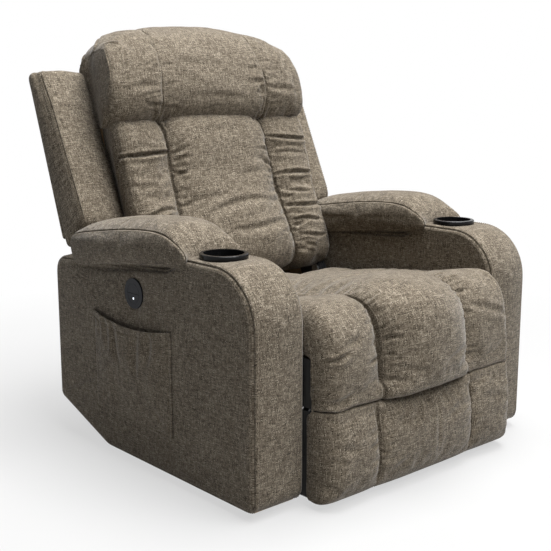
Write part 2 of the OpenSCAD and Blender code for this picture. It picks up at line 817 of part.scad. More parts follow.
module right_seat_plate() seat_plate(RIGHT);
module seat_pivot_bolts() {
  out = seat_plate_x + seat_plate_t;
  color("#b4b6b8") for (s = [LEFT, RIGHT]) {
    pin(s, hinge, post_x - 2 * head_t, post_x - air, hinge_r + 4);
    pin(s, hinge, post_x - eps, out, hinge_r);
    pin(s, swing, link_x(1), out + eps, pin_r);
    pin(s, swing, out, out + head_t, pin_r + 3);
    pin(s, ear_pivot, seat_plate_x, control_x + link_t + head_t, pin_r);
    pin(s, ear_pivot, control_x + link_t + air, control_x + link_t + air + head_t, pin_r + 3);
  }
}
module seat_cross_tube() {
  color("#3a3b3d") difference() {
    pin(LEFT, [seat_tube_d, seat_tube_h], -seat_plate_x, seat_plate_x, seat_tube_r);
    pin(LEFT, [seat_tube_d, seat_tube_h], -seat_plate_x - eps, seat_plate_x + eps, seat_tube_r - tube_wall);
  }
}
module deck_rail(d0, d1) {
  polygon([[d0, deck_at(d0)], [d0, deck_at(d0) - rail_h], [d1, deck_at(d1) - rail_h], [d1, deck_at(d1)]]);
}
module seat_frame() {
  color("#c9a77a") {
    for (s = [LEFT, RIGHT])
      side(sx(s, seat_plate_x - rail_t, rail_t), rail_t) deck_rail(deck_front, deck_back);
    side(-seat_plate_x + rail_t, 2 * (seat_plate_x - rail_t)) {
      deck_rail(deck_front, deck_front + rail_t);
      deck_rail(deck_back - rail_t, deck_back);
    }
  }
}
module seat_webbing() {
  color("#2d2d2d") for (k = [-1.5 : 1 : 1.5])
    side(k * strap_pitch - strap_w / 2, strap_w) polygon([
      [deck_front, deck_at(deck_front)],
      [deck_back, deck_at(deck_back)],
      [deck_back, deck_at(deck_back) + strap_t],
      [deck_front, deck_at(deck_front) + strap_t]
    ]);
}
seams = [-panel_half, panel_half];
function in_panel(x) = 1 / (1 + exp((abs(x) - panel_half) / 8));
seat_inner = deck_front - air;
seat_lift = strap_t + air;
seat_split_h = deck_at(seat_inner) + seat_lift;
seat_nose_d = -nose_reach;
seat_under = [for (u = [0 : 0.25 : 0.75])
  let (d = seat_inner + u * (deck_back - 4 - seat_inner))
  [d, deck_at(d) + seat_lift]];
seat_top = [
  [deck_back - 4, deck_at(deck_back - 4) + seat_lift],
  [deck_back, deck_at(deck_back) + 50],
  [deck_back - 9, seat_rear_h],
  [400, seat_crest - 58],
  [250, seat_crest - 30],
  [110, seat_crest - 6]
];
seat_front = curve([
  [30, seat_crest],
  [seat_nose_d + 62, seat_crest - 14],
  [seat_nose_d + 16, seat_crest - 56],
  [seat_nose_d + 1, seat_crest - 108],
  [seat_nose_d + 0.5, seat_split_h],
  [seat_nose_d, nose_low + 50],
  [seat_nose_d + 12, nose_low + 10],
  [seat_nose_d + 42, nose_low],
  [seat_inner - 18, nose_low + 4],
  [seat_inner, nose_low + 20]
], 2);
seat_rim = concat(seat_under, seat_top, seat_front);
seat_split = len(seat_under) + len(seat_top) + 8;
seat_round = 26;
seat_stations = stations(cushion_half, seams, seat_round);
function front_share(p) = max(0, min(1, (40 - p[0]) / 100));
function seat_draw(x, i) =
  let (
    p = seat_rim[i],
    free = i < len(seat_under) || i == len(seat_rim) - 1 ? 0 : 1,
    high = p[1] > nose_low + 12,
    set_back = (1 - in_panel(x)) * (front_share(p) * bolster_back + 5) * (high ? 1 : 0.2),
    sewn = seam_draw(x, seams, groove) * (high ? 1 : 0.3)
  )
  free * max(end_draw(x, cushion_half, seat_round), set_back + sewn);
function seat_outline(x) = drawn_in(seat_rim, [for (i = [0 : len(seat_rim) - 1]) seat_draw(x, i)]);
function above_split(o) = concat(
  [for (i = [0 : seat_split - 1]) o[i]],
  [[o[seat_split][0], seat_split_h]]);
function below_split(o) = concat(
  [[seat_inner, seat_split_h - air], [o[seat_split][0], seat_split_h - air]],
  [for (i = [seat_split + 1 : len(o) - 1]) o[i]]);
module seat_foam(outlines) {
  color("#75634f") translate([0, -origin_d, glide_h]) loft(seat_stations, outlines);
}
module seat_cushion() seat_foam([for (x = seat_stations) above_split(seat_outline(x))]);
module seat_nose() seat_foam([for (x = seat_stations) below_split(seat_outline(x))]);

// Drive: a motor pushes a rod along its guide tube, and the rod's yoke turns the crank
guide_front = 176;
clamp_r = seat_tube_r + 8;
guide_back = seat_tube_d - clamp_r - 12;
module along(d0, d1, x, h, r) {
  translate([x, d0 - origin_d, h + glide_h]) rotate([-90, 0, 0]) cylinder(h = d1 - d0, r = r);
}
module drive_motor() {
  box_w = 30;
  box_len = 34;
  can_r = 27;
  can_len = 97;
  can_h = rod_h - rod_r - guide_wall - can_r - 6;
  color("#222326") difference() {
    union() {
      along(guide_front, guide_back, 0, rod_h, rod_r + guide_wall);
      side(-box_w, 2 * box_w)
        box2([guide_back - box_len, can_h - can_r - 2], [guide_back, rod_h + rod_r + guide_wall + 3]);
      along(guide_back - box_len - can_len + eps, guide_back - box_len + eps, 0, can_h, can_r);
      side(-box_w / 2, box_w) {
        box2([guide_back - eps, seat_tube_h - clamp_r], [seat_tube_d, seat_tube_h + clamp_r]);
        hole([seat_tube_d, seat_tube_h], clamp_r);
      }
    }
    along(guide_front - eps, guide_back - box_len + 4, 0, rod_h, rod_r + run_fit);
    pin(LEFT, [seat_tube_d, seat_tube_h], -box_w, box_w, seat_tube_r + run_fit);
  }
}
module drive_rod() {
  yoke_front = crank_tip[0] - pin_r - yoke_play - 9;
  yoke_back = crank_tip[0] + 34;
  yoke_tall = yoke_half + 9;
  rod_end = guide_back - 50;
  color("#c4c6c8") difference() {
    union() {
      along(yoke_back - 14, rod_end, 0, rod_h, rod_r);
      side(-yoke_x, 2 * yoke_x) box2([yoke_front, rod_h - yoke_tall], [yoke_back, rod_h + yoke_tall]);
    }
    side(-yoke_x - eps, 2 * (yoke_x + eps)) {
      box2([crank_tip[0] - pin_r - yoke_play, rod_h - yoke_half + pin_r],
        [crank_tip[0] + pin_r + yoke_play, rod_h + yoke_half - pin_r]);
      hole([crank_tip[0], rod_h - yoke_half + pin_r], pin_r + yoke_play);
      hole([crank_tip[0], rod_h + yoke_half - pin_r], pin_r + yoke_play);
    }
  }
}
module drive_tube() {
  color("#55585c") {
    pin(LEFT, swing, -link_x(1), link_x(1), drive_r);
    for (s = [LEFT, RIGHT])
      side(sx(s, crank_x, crank_t), crank_t) bar(swing, crank_tip, link_w);
    pin(LEFT, crank_tip, -crank_x - crank_t, crank_x + crank_t, pin_r);
  }
}

// Leg rest linkage, side by side in four planes
module lower_link(s) {
  color("#5c5f63") difference() {
    union() {
      side(sx(s, link_x(1), link_t), link_t) {
        bar(swing, knee, link_w + 2);
        bar(foot_pivot, knee, link_w);
        bar(foot_pivot, swing, link_w);
      }
      pin(s, knee, link_x(2), link_x(1) + eps, pin_r);
      pin(s, foot_pivot, link_x(3), link_x(1) + eps, pin_r);
    }
    pin(s, swing, link_x(1) - eps, seat_plate_x, pin_r + run_fit);
  }
}
module left_lower_link() lower_link(LEFT);
module right_lower_link() lower_link(RIGHT);
module control_link(s) {
  color("#6a6d71") difference() {
    union() {
      side(sx(s, control_x, link_t), link_t) bar(ear_pivot, ear, link_w);
      pin(s, ear, link_x(2), control_x + eps, pin_r);
    }
    pin(s, ear_pivot, control_x - eps, base_x, pin_r + run_fit);
  }
}
module left_control_link() control_link(LEFT);
module right_control_link() control_link(RIGHT);
module upper_link(s) {
  color("#5c5f63") difference() {
    union() {
      side(sx(s, link_x(2), link_t), link_t) {
        bar(knee, foot, link_w);
        bar(knee, ear, link_w);
      }
      pin(s, foot, link_x(4) - air, link_x(2) + eps, foot_pin_r);
      pin(s, foot, link_x(4) - air - head_t, link_x(4) - air, foot_pin_r + 3);
    }
    pin(s, knee, link_x(2) - eps, link_x(1), pin_r + run_fit);
    pin(s, ear, link_x(2) - eps, link_x(1), pin_r + loop_play);
  }
}
module left_upper_link() upper_link(LEFT);
module right_upper_link() upper_link(RIGHT);
module foot_link(s) {
  color("#6a6d71") difference() {
    side(sx(s, link_x(3), link_t), link_t) bar(foot_pivot, foot_pin, link_w - 2);
    pin(s, foot_pivot, link_x(3) - eps, link_x(2), pin_r + run_fit);
    pin(s, foot_pin, link_x(3) - eps, link_x(2), pin_r + loop_play);
  }
}
module left_foot_link() foot_link(LEFT);
module right_foot_link() foot_link(RIGHT);
module foot_bracket(s) {
  x = link_x(4);
  face = leg_board_d;
  flange_t = 3;
  flange_w = 26;
  flange_low = 40;
  web_low = 60;
  color("#5c5f63") difference() {
    union() {
      side(sx(s, x, link_t), link_t) {
        bar(foot, foot_pin, link_w);
        polygon([
          [face, web_low], [face, foot_h + 8], [foot_d, foot_h + 9],
          [foot_d + 9, foot_h - 4], [face + 2 * flange_t, web_low]
        ]);
      }
      side(sx(s, x - flange_w, flange_w + link_t), flange_w + link_t)
        box2([face, flange_low], [face + flange_t, foot_h + 4]);
      pin(s, foot_pin, x, link_x(3) + link_t, pin_r);
    }
    pin(s, foot, x - flange_w, link_x(3), foot_pin_r + run_fit);
    pin(s, foot, x - 2 * head_t, x, foot_pin_r + 4);
  }
}
module left_foot_bracket() foot_bracket(LEFT);
module right_foot_bracket() foot_bracket(RIGHT);
module leg_rest_board() {
  color("#c9a77a") side(-leg_half + 14, 2 * leg_half - 28)
    box2([leg_board_d - leg_board_t, leg_low + 12], [leg_board_d, leg_high - 14]);
}
leg_seams = [-panel_half, 0, panel_half];
leg_groove = 5;
leg_roll_back = 6;
module leg_rest_pad() {
  r = 24;
  rear = leg_board_d - leg_board_t - air;
  front = -leg_reach;
  tall = leg_high - leg_low;
  flat = [for (u = [0 : 0.25 : 0.75]) [rear, leg_low + 8 + u * (tall - 18)]];
  over = curve([
    [rear, leg_high - 10],
    [rear - 10, leg_high - 2],
    [rear - 36, leg_high],
    [front + 16, leg_high - 10],
    [front + 3, leg_high - 36],
    [front, leg_high - 80],
    [front, leg_low + 70],
    [front + 5, leg_low + 28],
    [front + 22, leg_low + 5],
    [rear - 30, leg_low],
    [rear - 6, leg_low + 3],
    [rear, leg_low + 8]
  ], 2);
  rim = concat(flat, [for (i = [0 : len(over) - 2]) over[i]]);
  bare = [for (p = rim) max(0, min(1, (rear - 4 - p[0]) / 20))];
  xs = stations(leg_half, leg_seams, r);
  function drawn(x) = seam_draw(x, leg_seams, leg_groove) + (1 - in_panel(x)) * leg_roll_back;
  color("#75634f") translate([0, -origin_d, glide_h])
    loft(xs, [for (x = xs) drawn_in(rim, bare * max(end_draw(x, leg_half, r), drawn(x)))]);
}

// Back
wing_foot = [[-105, 80], [-60, 42], [0, 25]];
module wing_board_outline(s, from, room) {
  wide = wing_half - shell_t + room - from;
  low = wing_foot[0][1] + 50;
  translate([sx(s, from, wide), low - room]) square([wide, wing_top - 10 - low + 2 * room]);
}
module back_frame() {
  inner = post_x - post_w;
  cross_rail = 40;
  mid_rail = 100;
  color("#c9a77a") in_back() {
    back_board(shell_t, shell_t + post_t) {
      for (x = [-post_x, inner])
        box2([x, frame_low], [x + post_w, frame_top]);
      for (b = [frame_low, mid_rail, frame_top - cross_rail])
        box2([-inner - eps, b], [inner + eps, b + cross_rail]);
    }
    back_board(shell_t, shell_t + board_t)
      for (s = [LEFT, RIGHT])
        wing_board_outline(s, post_x - eps, 0);
  }
}
module back_webbing() {
  front = shell_t + post_t;
  color("#2d2d2d") in_back() back_board(front, front + strap_t)
    for (b = [-100, 0, 200, 320])
      box2([-post_x + strap_t, b], [post_x - strap_t, b + strap_w]);
}
module back_shell() {
  corner = 26;
  low_half = post_x - 2;
  color("#6b5a49") in_back() back_board(0, shell_t) {
    box2([-wing_half, wing_foot[2][1]], [wing_half, wing_top - corner]);
    box2([-wing_half + corner, wing_top - corner - eps], [wing_half - corner, wing_top]);
    box2([-low_half, shell_low], [low_half, shell_top - corner]);
    box2([-low_half + corner, wing_top], [low_half - corner, shell_top]);
    for (s = [LEFT, RIGHT]) {
      hole([s * (wing_half - corner), wing_top - corner], corner);
      hole([s * (low_half - corner), shell_top - corner], corner);
    }
  }
}
module wing(s) {
  wide = wing_half - wing_in;
  color("#6b5a49") in_back() difference() {
    translate([sx(s, wing_in, wide), 0, 0]) rotate([90, 0, 90]) linear_extrude(wide) polygon([
      wing_foot[0], wing_foot[1], [-shell_t, wing_foot[2][1]], [-shell_t, wing_top],
      [-wing_depth, wing_top], [wing_foot[0][0] - 30, wing_foot[0][1]]
    ]);
    translate([s * wing_half, -wing_depth, wing_top]) rotate([-wing_lean, 0, -s * wing_turn])
      translate([-400, -400, -600]) cube([800, 400, 900]);
    back_board(shell_t - eps, shell_t + board_t) wing_board_outline(s, wing_in - eps, air);
  }
}
module left_wing() wing(LEFT);
module right_wing() wing(RIGHT);
module back_cushion() {
  r = 30;
  channel_back = 6;
  rear = -shell_t - post_t - strap_t - air;
  top = head_low - air;
  front = -back_front;
  flat = [for (u = [0 : 0.2 : 0.8]) [rear, back_low + 6 + u * (top - back_low - 10)]];
  over = curve([
    [rear, top - 4],
    [rear - 25, top],
    [front + 20, top - 2],
    [front + 2, top - 24],
    [front + 3, top - 90],
    [front, 100],
    [front - 0.5 * lumbar, 20],
    [front - lumbar, back_low + 80],
    [front - lumbar + 3, back_low + 32],
    [front - lumbar + 26, back_low + 3],
    [(front + rear) / 2, back_low],
    [rear, back_low + 6]
  ], 2);
  rim = concat(flat, [for (i = [0 : len(over) - 2]) over[i]]);
  bare = [for (p = rim) max(0, min(1, (rear - 4 - p[0]) / 50))];
  xs = stations(back_half, seams, r);
  function drawn(x) = seam_draw(x, seams, groove) + (1 - in_panel(x)) * channel_back;
  color("#75634f") in_back()
    loft(xs, [for (x = xs) drawn_in(rim, bare * max(end_draw(x, back_half, r), drawn(x)))]);
}
module headrest() {
  r = 40;
  rear = -shell_t - post_t - strap_t - air;
  over_frame = frame_top + air;
  low = head_low + air;
  front = -head_front;
  flat = [
    [rear, low + 4], [rear, (low + over_frame) / 2], [rear, over_frame], [(rear - shell_t) / 2, over_frame]
  ];
  over = curve([
    [-shell_t - 2, over_frame],
    [-shell_t - 3, shell_top - 14],
    [-shell_t - 24, head_top - 8],
    [-78, head_top],
    [front + 78, head_top - 14],
    [front + 28, head_top - 66],
    [front + 2, head_top - 140],
    [front, head_top - 205],
    [front + 14, low + 36],
    [front + 42, low + 6],
    [rear - 40, low],
    [rear, low + 4]
  ], 2);
  rim = concat(flat, [for (i = [0 : len(over) - 2]) over[i]]);
  bare = [for (p = rim) max(0, min(1, (rear + 20 - p[0]) / 60))];
  function top_share(p) = max(0, min(1, (p[1] - over_frame) / (head_top - over_frame)));
  xs = stations(back_half, seams, r);
  color("#75634f") in_back()
    loft(xs, [for (x = xs)
      [for (p = drawn_in(rim, bare * max(end_draw(x, back_half, r), seam_draw(x, seams, groove * 0.5))))
        [p[0], p[1] - head_arch * pow(x / back_half, 2) * top_share(p)]]]);
}
module back_bracket(s) {
  hinge_b = in_back_of(hinge);
  tail_b = in_back_of(tail);
  edge = -shell_t - post_t;
  color("#45474a") difference() {
    in_back() translate([sx(s, post_x, link_t), 0, 0]) rotate([90, 0, 90]) linear_extrude(link_t) {
      box2([edge, frame_low + 10], [-shell_t, -20]);
      bar(hinge_b, [edge + 14, hinge_b[1] + 8], 40);
      bar(tail_b, [edge + 14, tail_b[1]], 36);
      bar(hinge_b, tail_b, 32);
    }
    pin(s, hinge, post_x - eps, seat_plate_x, hinge_r + run_fit);
    pin(s, tail, post_x - eps, seat_plate_x, hinge_r + run_fit);
  }
}
module left_back_bracket() back_bracket(LEFT);
module right_back_bracket() back_bracket(RIGHT);
module back_link(s) {
  color("#6a6d71") difference() {
    side(sx(s, back_link_x, link_t), link_t) bar(tail_pivot, tail, link_w + 10);
    pin(s, tail_pivot, back_link_x - eps, base_x, hinge_r + run_fit);
    pin(s, tail, back_link_x - eps, base_x, hinge_r + tail_play);
  }
}
module left_back_link() back_link(LEFT);
module right_back_link() back_link(RIGHT);
module back_link_bolts() {
  color("#b4b6b8") for (s = [LEFT, RIGHT]) {
    pin(s, tail, post_x, back_link_x + link_t + air, hinge_r);
    pin(s, tail, post_x + link_t, back_link_x - air, hinge_r + 3);
    pin(s, tail, back_link_x + link_t + air, back_link_x + link_t + 3, hinge_r + 3);
  }
}

left_arm_frame();
right_arm_frame();
left_arm_cover();
right_arm_cover();
left_arm_pad();
right_arm_pad();
left_cup_holder();
right_cup_holder();
side_pocket();
switch_ring();
switch_body();
indicator_light();
recline_button();
return_button();
glides();
arm_bolts();
left_base_plate();
right_base_plate();
base_cross_tubes();
base_pivot_bolts();
tilt_stops();
rear_panel();
power_inlet();
left_seat_plate();
right_seat_plate();
seat_pivot_bolts();
seat_cross_tube();
seat_frame();
seat_webbing();
seat_cushion();
seat_nose();
drive_motor();
drive_rod();
drive_tube();
left_lower_link();
right_lower_link();
left_upper_link();
right_upper_link();
left_control_link();
right_control_link();
left_foot_link();
right_foot_link();
left_foot_bracket();
right_foot_bracket();
leg_rest_board();
leg_rest_pad();
back_frame();
back_webbing();
back_shell();
left_wing();
right_wing();
back_cushion();
headrest();
left_back_bracket();
right_back_bracket();
left_back_link();
right_back_link();
back_link_bolts();
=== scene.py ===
"""Upholstery, finishes and studio of a power recliner armchair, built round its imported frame."""

import json
import math

import bpy
import numpy as np
from bpy.props import FloatProperty, FloatVectorProperty, IntProperty, PointerProperty
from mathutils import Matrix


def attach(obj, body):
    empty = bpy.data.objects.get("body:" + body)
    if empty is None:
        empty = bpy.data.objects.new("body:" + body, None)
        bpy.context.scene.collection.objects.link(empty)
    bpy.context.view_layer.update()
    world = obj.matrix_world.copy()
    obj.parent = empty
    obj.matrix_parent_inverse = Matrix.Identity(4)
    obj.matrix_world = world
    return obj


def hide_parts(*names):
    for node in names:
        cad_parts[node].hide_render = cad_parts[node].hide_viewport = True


bl_info = {
    "name": "Power recliner upholstery",
    "version": (1, 0, 0),
    "blender": (4, 5, 0),
    "location": "View3D > Sidebar > Recliner",
    "description": "Builds the soft pieces, finishes and studio of an upholstered power recliner",
    "category": "Object",
}

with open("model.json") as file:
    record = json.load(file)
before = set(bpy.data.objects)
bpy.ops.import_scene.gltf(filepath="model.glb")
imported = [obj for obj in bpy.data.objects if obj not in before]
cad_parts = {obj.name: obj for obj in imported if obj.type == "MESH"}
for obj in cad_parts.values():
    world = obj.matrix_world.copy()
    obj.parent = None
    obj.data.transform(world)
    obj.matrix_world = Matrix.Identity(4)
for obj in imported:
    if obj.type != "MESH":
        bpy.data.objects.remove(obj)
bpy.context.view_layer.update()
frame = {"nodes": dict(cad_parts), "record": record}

# Sizes of the frame in millimetres: d runs back from the front of the arms, h up from their feet
ORIGIN_D, GLIDE_H = 400.0, 15.0
SEAT_HALF, ARM_W = 305.0, 135.0
ARM_MID = SEAT_HALF + ARM_W / 2
ARM_LEN, ARM_H, ARM_R = 750.0, 490.0, 120.0
DECK_END, LEDGE_D, LEDGE_FRONT_H, LEDGE_BACK_H = 232.0, 280.0, 458.0, 430.0
ARM_BACK_R, ARM_TOE_R, KICK_H, KICK_LEN = 40.0, 25.0, 75.0, 210.0
CUP_D, SWITCH_D, SWITCH_H = 172.0, 402.0, 389.0
CUP_HOLE_R, SWITCH_HOLE_R = 0.0478, 0.0278
PAD_HALF = 75.0
POCKET_FRONT, POCKET_BACK, POCKET_LOW, POCKET_HIGH, POCKET_SAG = 262.0, 567.0, 90.0, 328.0, 16.0
POCKET_HEM = 15.0

# The back leans about its own axes: a runs rearward, b up along it
BACK_D, BACK_H, LEAN = 733.0, 441.0, math.radians(19.5)
WING_IN, WING_EDGE, WING_REAR, WING_LOW, WING_TOP, SHELL_T = 281.0, 408.0, 422.0, 30.0, 441.0, 14.0
SHELL_LOW, SHELL_TOP, SHELL_HALF = -195.0, 512.0, 274.0


TINT = {"min": 0.0, "max": 1.0, "subtype": "COLOR"}
SIDES = ((1, "left"), (-1, "right"))


class ReclinerSizes(bpy.types.PropertyGroup):
    """Sizes of the upholstery that a user would change."""

    seam_depth: FloatProperty(
        name="Seam depth", description="Depth of the sewn lines between two panels",
        default=0.0030, min=0.0, max=0.008, unit="LENGTH",
    )
    stitch_pitch: FloatProperty(
        name="Stitch pitch", description="Distance from one stitch to the next",
        default=0.0066, min=0.004, max=0.015, unit="LENGTH",
    )
    pad_crown: FloatProperty(
        name="Arm pad crown", description="Height of the arm pad's dome over its boxing seam",
        default=0.020, min=0.005, max=0.032, unit="LENGTH",
    )
    panel_puff: FloatProperty(
        name="Panel puff", description="Fullness of the cushions between two sewn lines, as a share of the usual",
        default=1.0, min=0.6, max=1.2, subtype="FACTOR",
    )
    cover_slack: FloatProperty(
        name="Cover slack", description="Cloth to spare in the cushion covers, as a share of their width",
        default=0.03, min=0.0, max=0.06, subtype="FACTOR",
    )
    yarn_pitch: FloatProperty(
        name="Yarn pitch", description="Distance between two yarns of the cover's cloth",
        default=0.0024, min=0.001, max=0.006, unit="LENGTH",
    )
    seed: IntProperty(name="Seed", description="Seed of the creases and gathers", default=7, min=0)


class ReclinerColours(bpy.types.PropertyGroup):
    """Colours of the cloth and the hardware that a user would change."""

    yarn_dark: FloatVectorProperty(
        name="Dark yarn", description="Darkest yarn of the tweed", default=(0.036, 0.027, 0.018), **TINT
    )
    yarn_mid: FloatVectorProperty(
        name="Ground yarn", description="Yarn that gives the tweed its ground colour",
        default=(0.143, 0.117, 0.085), **TINT,
    )
    yarn_light: FloatVectorProperty(
        name="Light yarn", description="Palest yarn of the tweed", default=(0.335, 0.290, 0.226), **TINT
    )
    thread: FloatVectorProperty(
        name="Thread", description="Sewing thread of the seams", default=(0.205, 0.172, 0.130), **TINT
    )
    black: FloatVectorProperty(
        name="Black", description="Moulded black of the cup holders and the switch",
        default=(0.005, 0.005, 0.0055), **TINT,
    )
    steel_paint: FloatVectorProperty(
        name="Steel paint", description="Powder coat of the plates and links", default=(0.030, 0.031, 0.034), **TINT
    )


def place(p):
    """Point in metres from x, d and h in millimetres: y is d less the origin's, z is h over the glides."""
    p = np.asarray(p, float)
    return np.stack([p[..., 0], p[..., 1] - ORIGIN_D, p[..., 2] + GLIDE_H], -1) / 1000


def place_back(p):
    """Point in metres from x, a and b in millimetres: a and b turned by the lean about the back's origin."""
    x, a, b = np.moveaxis(np.asarray(p, float), -1, 0)
    d = BACK_D + a * math.cos(LEAN) + b * math.sin(LEAN)
    h = BACK_H - a * math.sin(LEAN) + b * math.cos(LEAN)
    return place(np.stack([x, d, h], -1))


def spline(points, counts):
    """Closed curve through points: cubic pieces, with slopes from both chords weighed by the roots of their lengths."""
    p = np.asarray(points, float)
    p = np.vstack([p[-1:], p, p[:2]])
    chord = np.diff(p, axis=0)
    step = np.sqrt(np.linalg.norm(chord, axis=1) + 1e-9)[:, None]
    chord = chord / step
    slope = (chord[:-1] * step[1:] + chord[1:] * step[:-1]) / (step[:-1] + step[1:])
    k = np.repeat(np.arange(len(p) - 3), counts)
    u = np.concatenate([np.arange(c) / c for c in counts])[:, None]
    h = step[k + 1]
    return (
        (2 * u**3 - 3 * u**2 + 1) * p[k + 1]
        + (u**3 - 2 * u**2 + u) * slope[k] * h
        + (3 * u**2 - 2 * u**3) * p[k + 2]
        + (u**3 - u**2) * slope[k + 1] * h
    )


def steps_for(points, spacing):
    """Number of steps for each piece of a closed curve: its length over the spacing, at least one."""
    p = np.vstack([points, points[:1]])
    return np.maximum(1, np.round(np.linalg.norm(np.diff(p, axis=0), axis=1) / spacing)).astype(int)


def along(line, closed=False):
    """Distance along a line of points from its first one, with the closing step added for a closed one."""
    p = np.vstack([line, line[:1]]) if closed else line
    return np.concatenate([[0.0], np.cumsum(np.linalg.norm(np.diff(p, axis=0), axis=1))])


def read_off(t, s, p):
    """Columns of p, given at the distances s, read off in straight lines at the distances t."""
    return np.stack([np.interp(t, s, column) for column in p.T], -1)


def evenly(line, spacing):
    """The same closed line with its points at even distances."""
    s = along(line, True)
    count = max(2, int(round(s[-1] / spacing)))
    t = np.linspace(0, s[-1], count + 1)
    return read_off(t[:-1], s, np.vstack([line, line[:1]]))


def outward(line):
    """Unit normals of a closed counter-clockwise line in the plane: its direction turned a quarter turn clockwise."""
    g = np.roll(line, -1, 0) - np.roll(line, 1, 0)
    g /= np.linalg.norm(g, axis=1)[:, None] + 1e-12
    return np.stack([g[:, 1], -g[:, 0]], -1)


def softened(line, reach):
    """Closed line averaged over reach neighbours on each side, which rounds its corners."""
    return sum(np.roll(line, k, 0) for k in range(-reach, reach + 1)) / (2 * reach + 1)


def ease(t):
    """Smooth step from 0 to 1: 3 t squared less 2 t cubed."""
    t = np.clip(t, 0, 1)
    return t * t * (3 - 2 * t)


def swelling(t, flat):
    """Rise of a stuffed panel between its two sewn lines: the root of 1 less |2t - 1| to a power; higher is flatter."""
    return np.sqrt(np.clip(1 - np.abs(2 * t - 1) ** flat, 0, 1))


def ripple(u, v, seed, waves):
    """Slow unevenness of a surface: a sum of sine waves (length, height) in seeded directions and phases."""
    rng = np.random.default_rng(seed)
    total = np.zeros(np.broadcast(u, v).shape)
    for length, height in waves:
        for turn, phase in zip(rng.uniform(0, math.pi, 3), rng.uniform(0, 2 * math.pi, 3)):
            k = 2 * math.pi / (length * rng.uniform(0.8, 1.25))
            total += height / 3 * np.sin(k * (u * math.cos(turn) + v * math.sin(turn)) + phase)
    return total


def creases(u, v, lines):
    """Depth of folds on a plane: across each line a narrow valley with a swelling on each side, fading to its ends.

    A line is (u0, v0, u1, v1, depth, width, bow), and bow lifts its middle sideways. The valley is steeper below.
    """
    total = np.zeros(np.broadcast(u, v).shape)
    for u0, v0, u1, v1, depth, width, bow in lines:
        length = math.hypot(u1 - u0, v1 - v0)
        au, av = (u1 - u0) / length, (v1 - v0) / length
        t = ((u - u0) * au + (v - v0) * av) / length
        off = (v - v0) * au - (u - u0) * av - bow * 4 * t * (1 - t)
        fade = np.sin(math.pi * np.clip(t, 0, 1)) ** 0.6
        w = width * (0.5 + 0.5 * fade) * np.where(off > 0, 1.25, 0.8)
        lips = 0.5 * np.exp(-(((np.abs(off) - 2.1 * w) / (1.25 * w)) ** 2))
        total += fade * depth * (lips - np.exp(-((off / w) ** 2)))
    return total


def gathers(rng, rows):
    """Lines of short folds that start along a seam at u, evenly at random from v0 to v1, and run off to one side.

    Each row is (u, v0, v1, count, side, length, depth). A fold runs length times 0.5 to 1.2, with a random slant.
    """
    lines = []
    for u, v0, v1, count, side, length, depth in rows:
        t = np.sort(rng.uniform(0, 1, count))
        reach = length * rng.uniform(0.5, 1.2, count)
        tilt = rng.uniform(-0.35, 0.35, count)
        su, sv = np.full(count, float(u)), v0 + (v1 - v0) * t
        deep = depth * rng.uniform(0.5, 1.1, count)
        wide, bow = rng.uniform(3.5, 6.0, count), rng.uniform(-4, 4, count)
        lines += zip(su, sv, su + side * reach, sv + reach * tilt, deep, wide, bow)
    return lines


def put(name, verts, faces, uvs, material, smooth=True):
    """Mesh object from arrays of points, faces and one UV per face corner, turned so that its faces point outwards."""
    mesh = bpy.data.meshes.new(name)
    mesh.from_pydata(np.asarray(verts).tolist(), [], [f for group in faces for f in np.asarray(group).tolist()])
    layer = mesh.uv_layers.new(name="cloth")
    layer.data.foreach_set("uv", np.concatenate([np.asarray(g, float).reshape(-1) for g in uvs]))
    volume = sum(
        float(np.einsum("ij,ij->", verts[g[:, 0]], np.cross(verts[g[:, k]], verts[g[:, k + 1]])))
        for g in map(np.asarray, faces)
        for k in range(1, g.shape[1] - 1)
    )
    if volume < 0:
        mesh.flip_normals()
    mesh.polygons.foreach_set("use_smooth", np.full(len(mesh.polygons), smooth))
    mesh.materials.append(material)
    mesh.update()
    obj = bpy.data.objects.new(name, mesh)
    bpy.context.scene.collection.objects.link(obj)
    return obj


def wrapped(rows):
    """Rows of a closed section with its first point added again at the end."""
    return np.concatenate([rows, rows[:, :1]], 1)


def loft(name, grid, uv, flat, flat_rows):
    """Closed tweed skin over rows of closed sections: quads between neighbouring rows, a zip of quads across each end.

    uv and flat are two sets of UVs with a closing column. The rows of quads in flat_rows and the ends use flat.
    """
    m, n = grid.shape[:2]
    i, j = np.meshgrid(np.arange(m - 1), np.arange(n), indexing="ij")
    k = (j + 1) % n
    quads = np.stack([i * n + j, i * n + k, (i + 1) * n + k, (i + 1) * n + j], -1).reshape(-1, 4)
    both = [np.stack([w[i, j], w[i, j + 1], w[i + 1, j + 1], w[i + 1, j]], 2) for w in (uv, flat)]
    quad_uv = np.where(np.asarray(flat_rows)[:, None, None, None], both[1], both[0]).reshape(-1, 4, 2)
    r = np.arange(n // 2 - 1)
    zipped = np.stack([r, r + 1, n - 2 - r, n - 1 - r], -1)
    ends = np.vstack([zipped[:, ::-1], zipped + (m - 1) * n])
    faces = [np.vstack([quads, ends])]
    uvs = [np.concatenate([quad_uv, flat[0][zipped[:, ::-1]], flat[-1][zipped]])]
    if n % 2:
        last = np.array([[n // 2 - 1, n // 2, n // 2 + 1]])
        faces.append(np.vstack([last[:, ::-1], last + (m - 1) * n]))
        uvs.append(np.concatenate([flat[0][last[:, ::-1]], flat[-1][last]]))
    return put(name, grid.reshape(-1, 3), faces, uvs, named("tweed"))


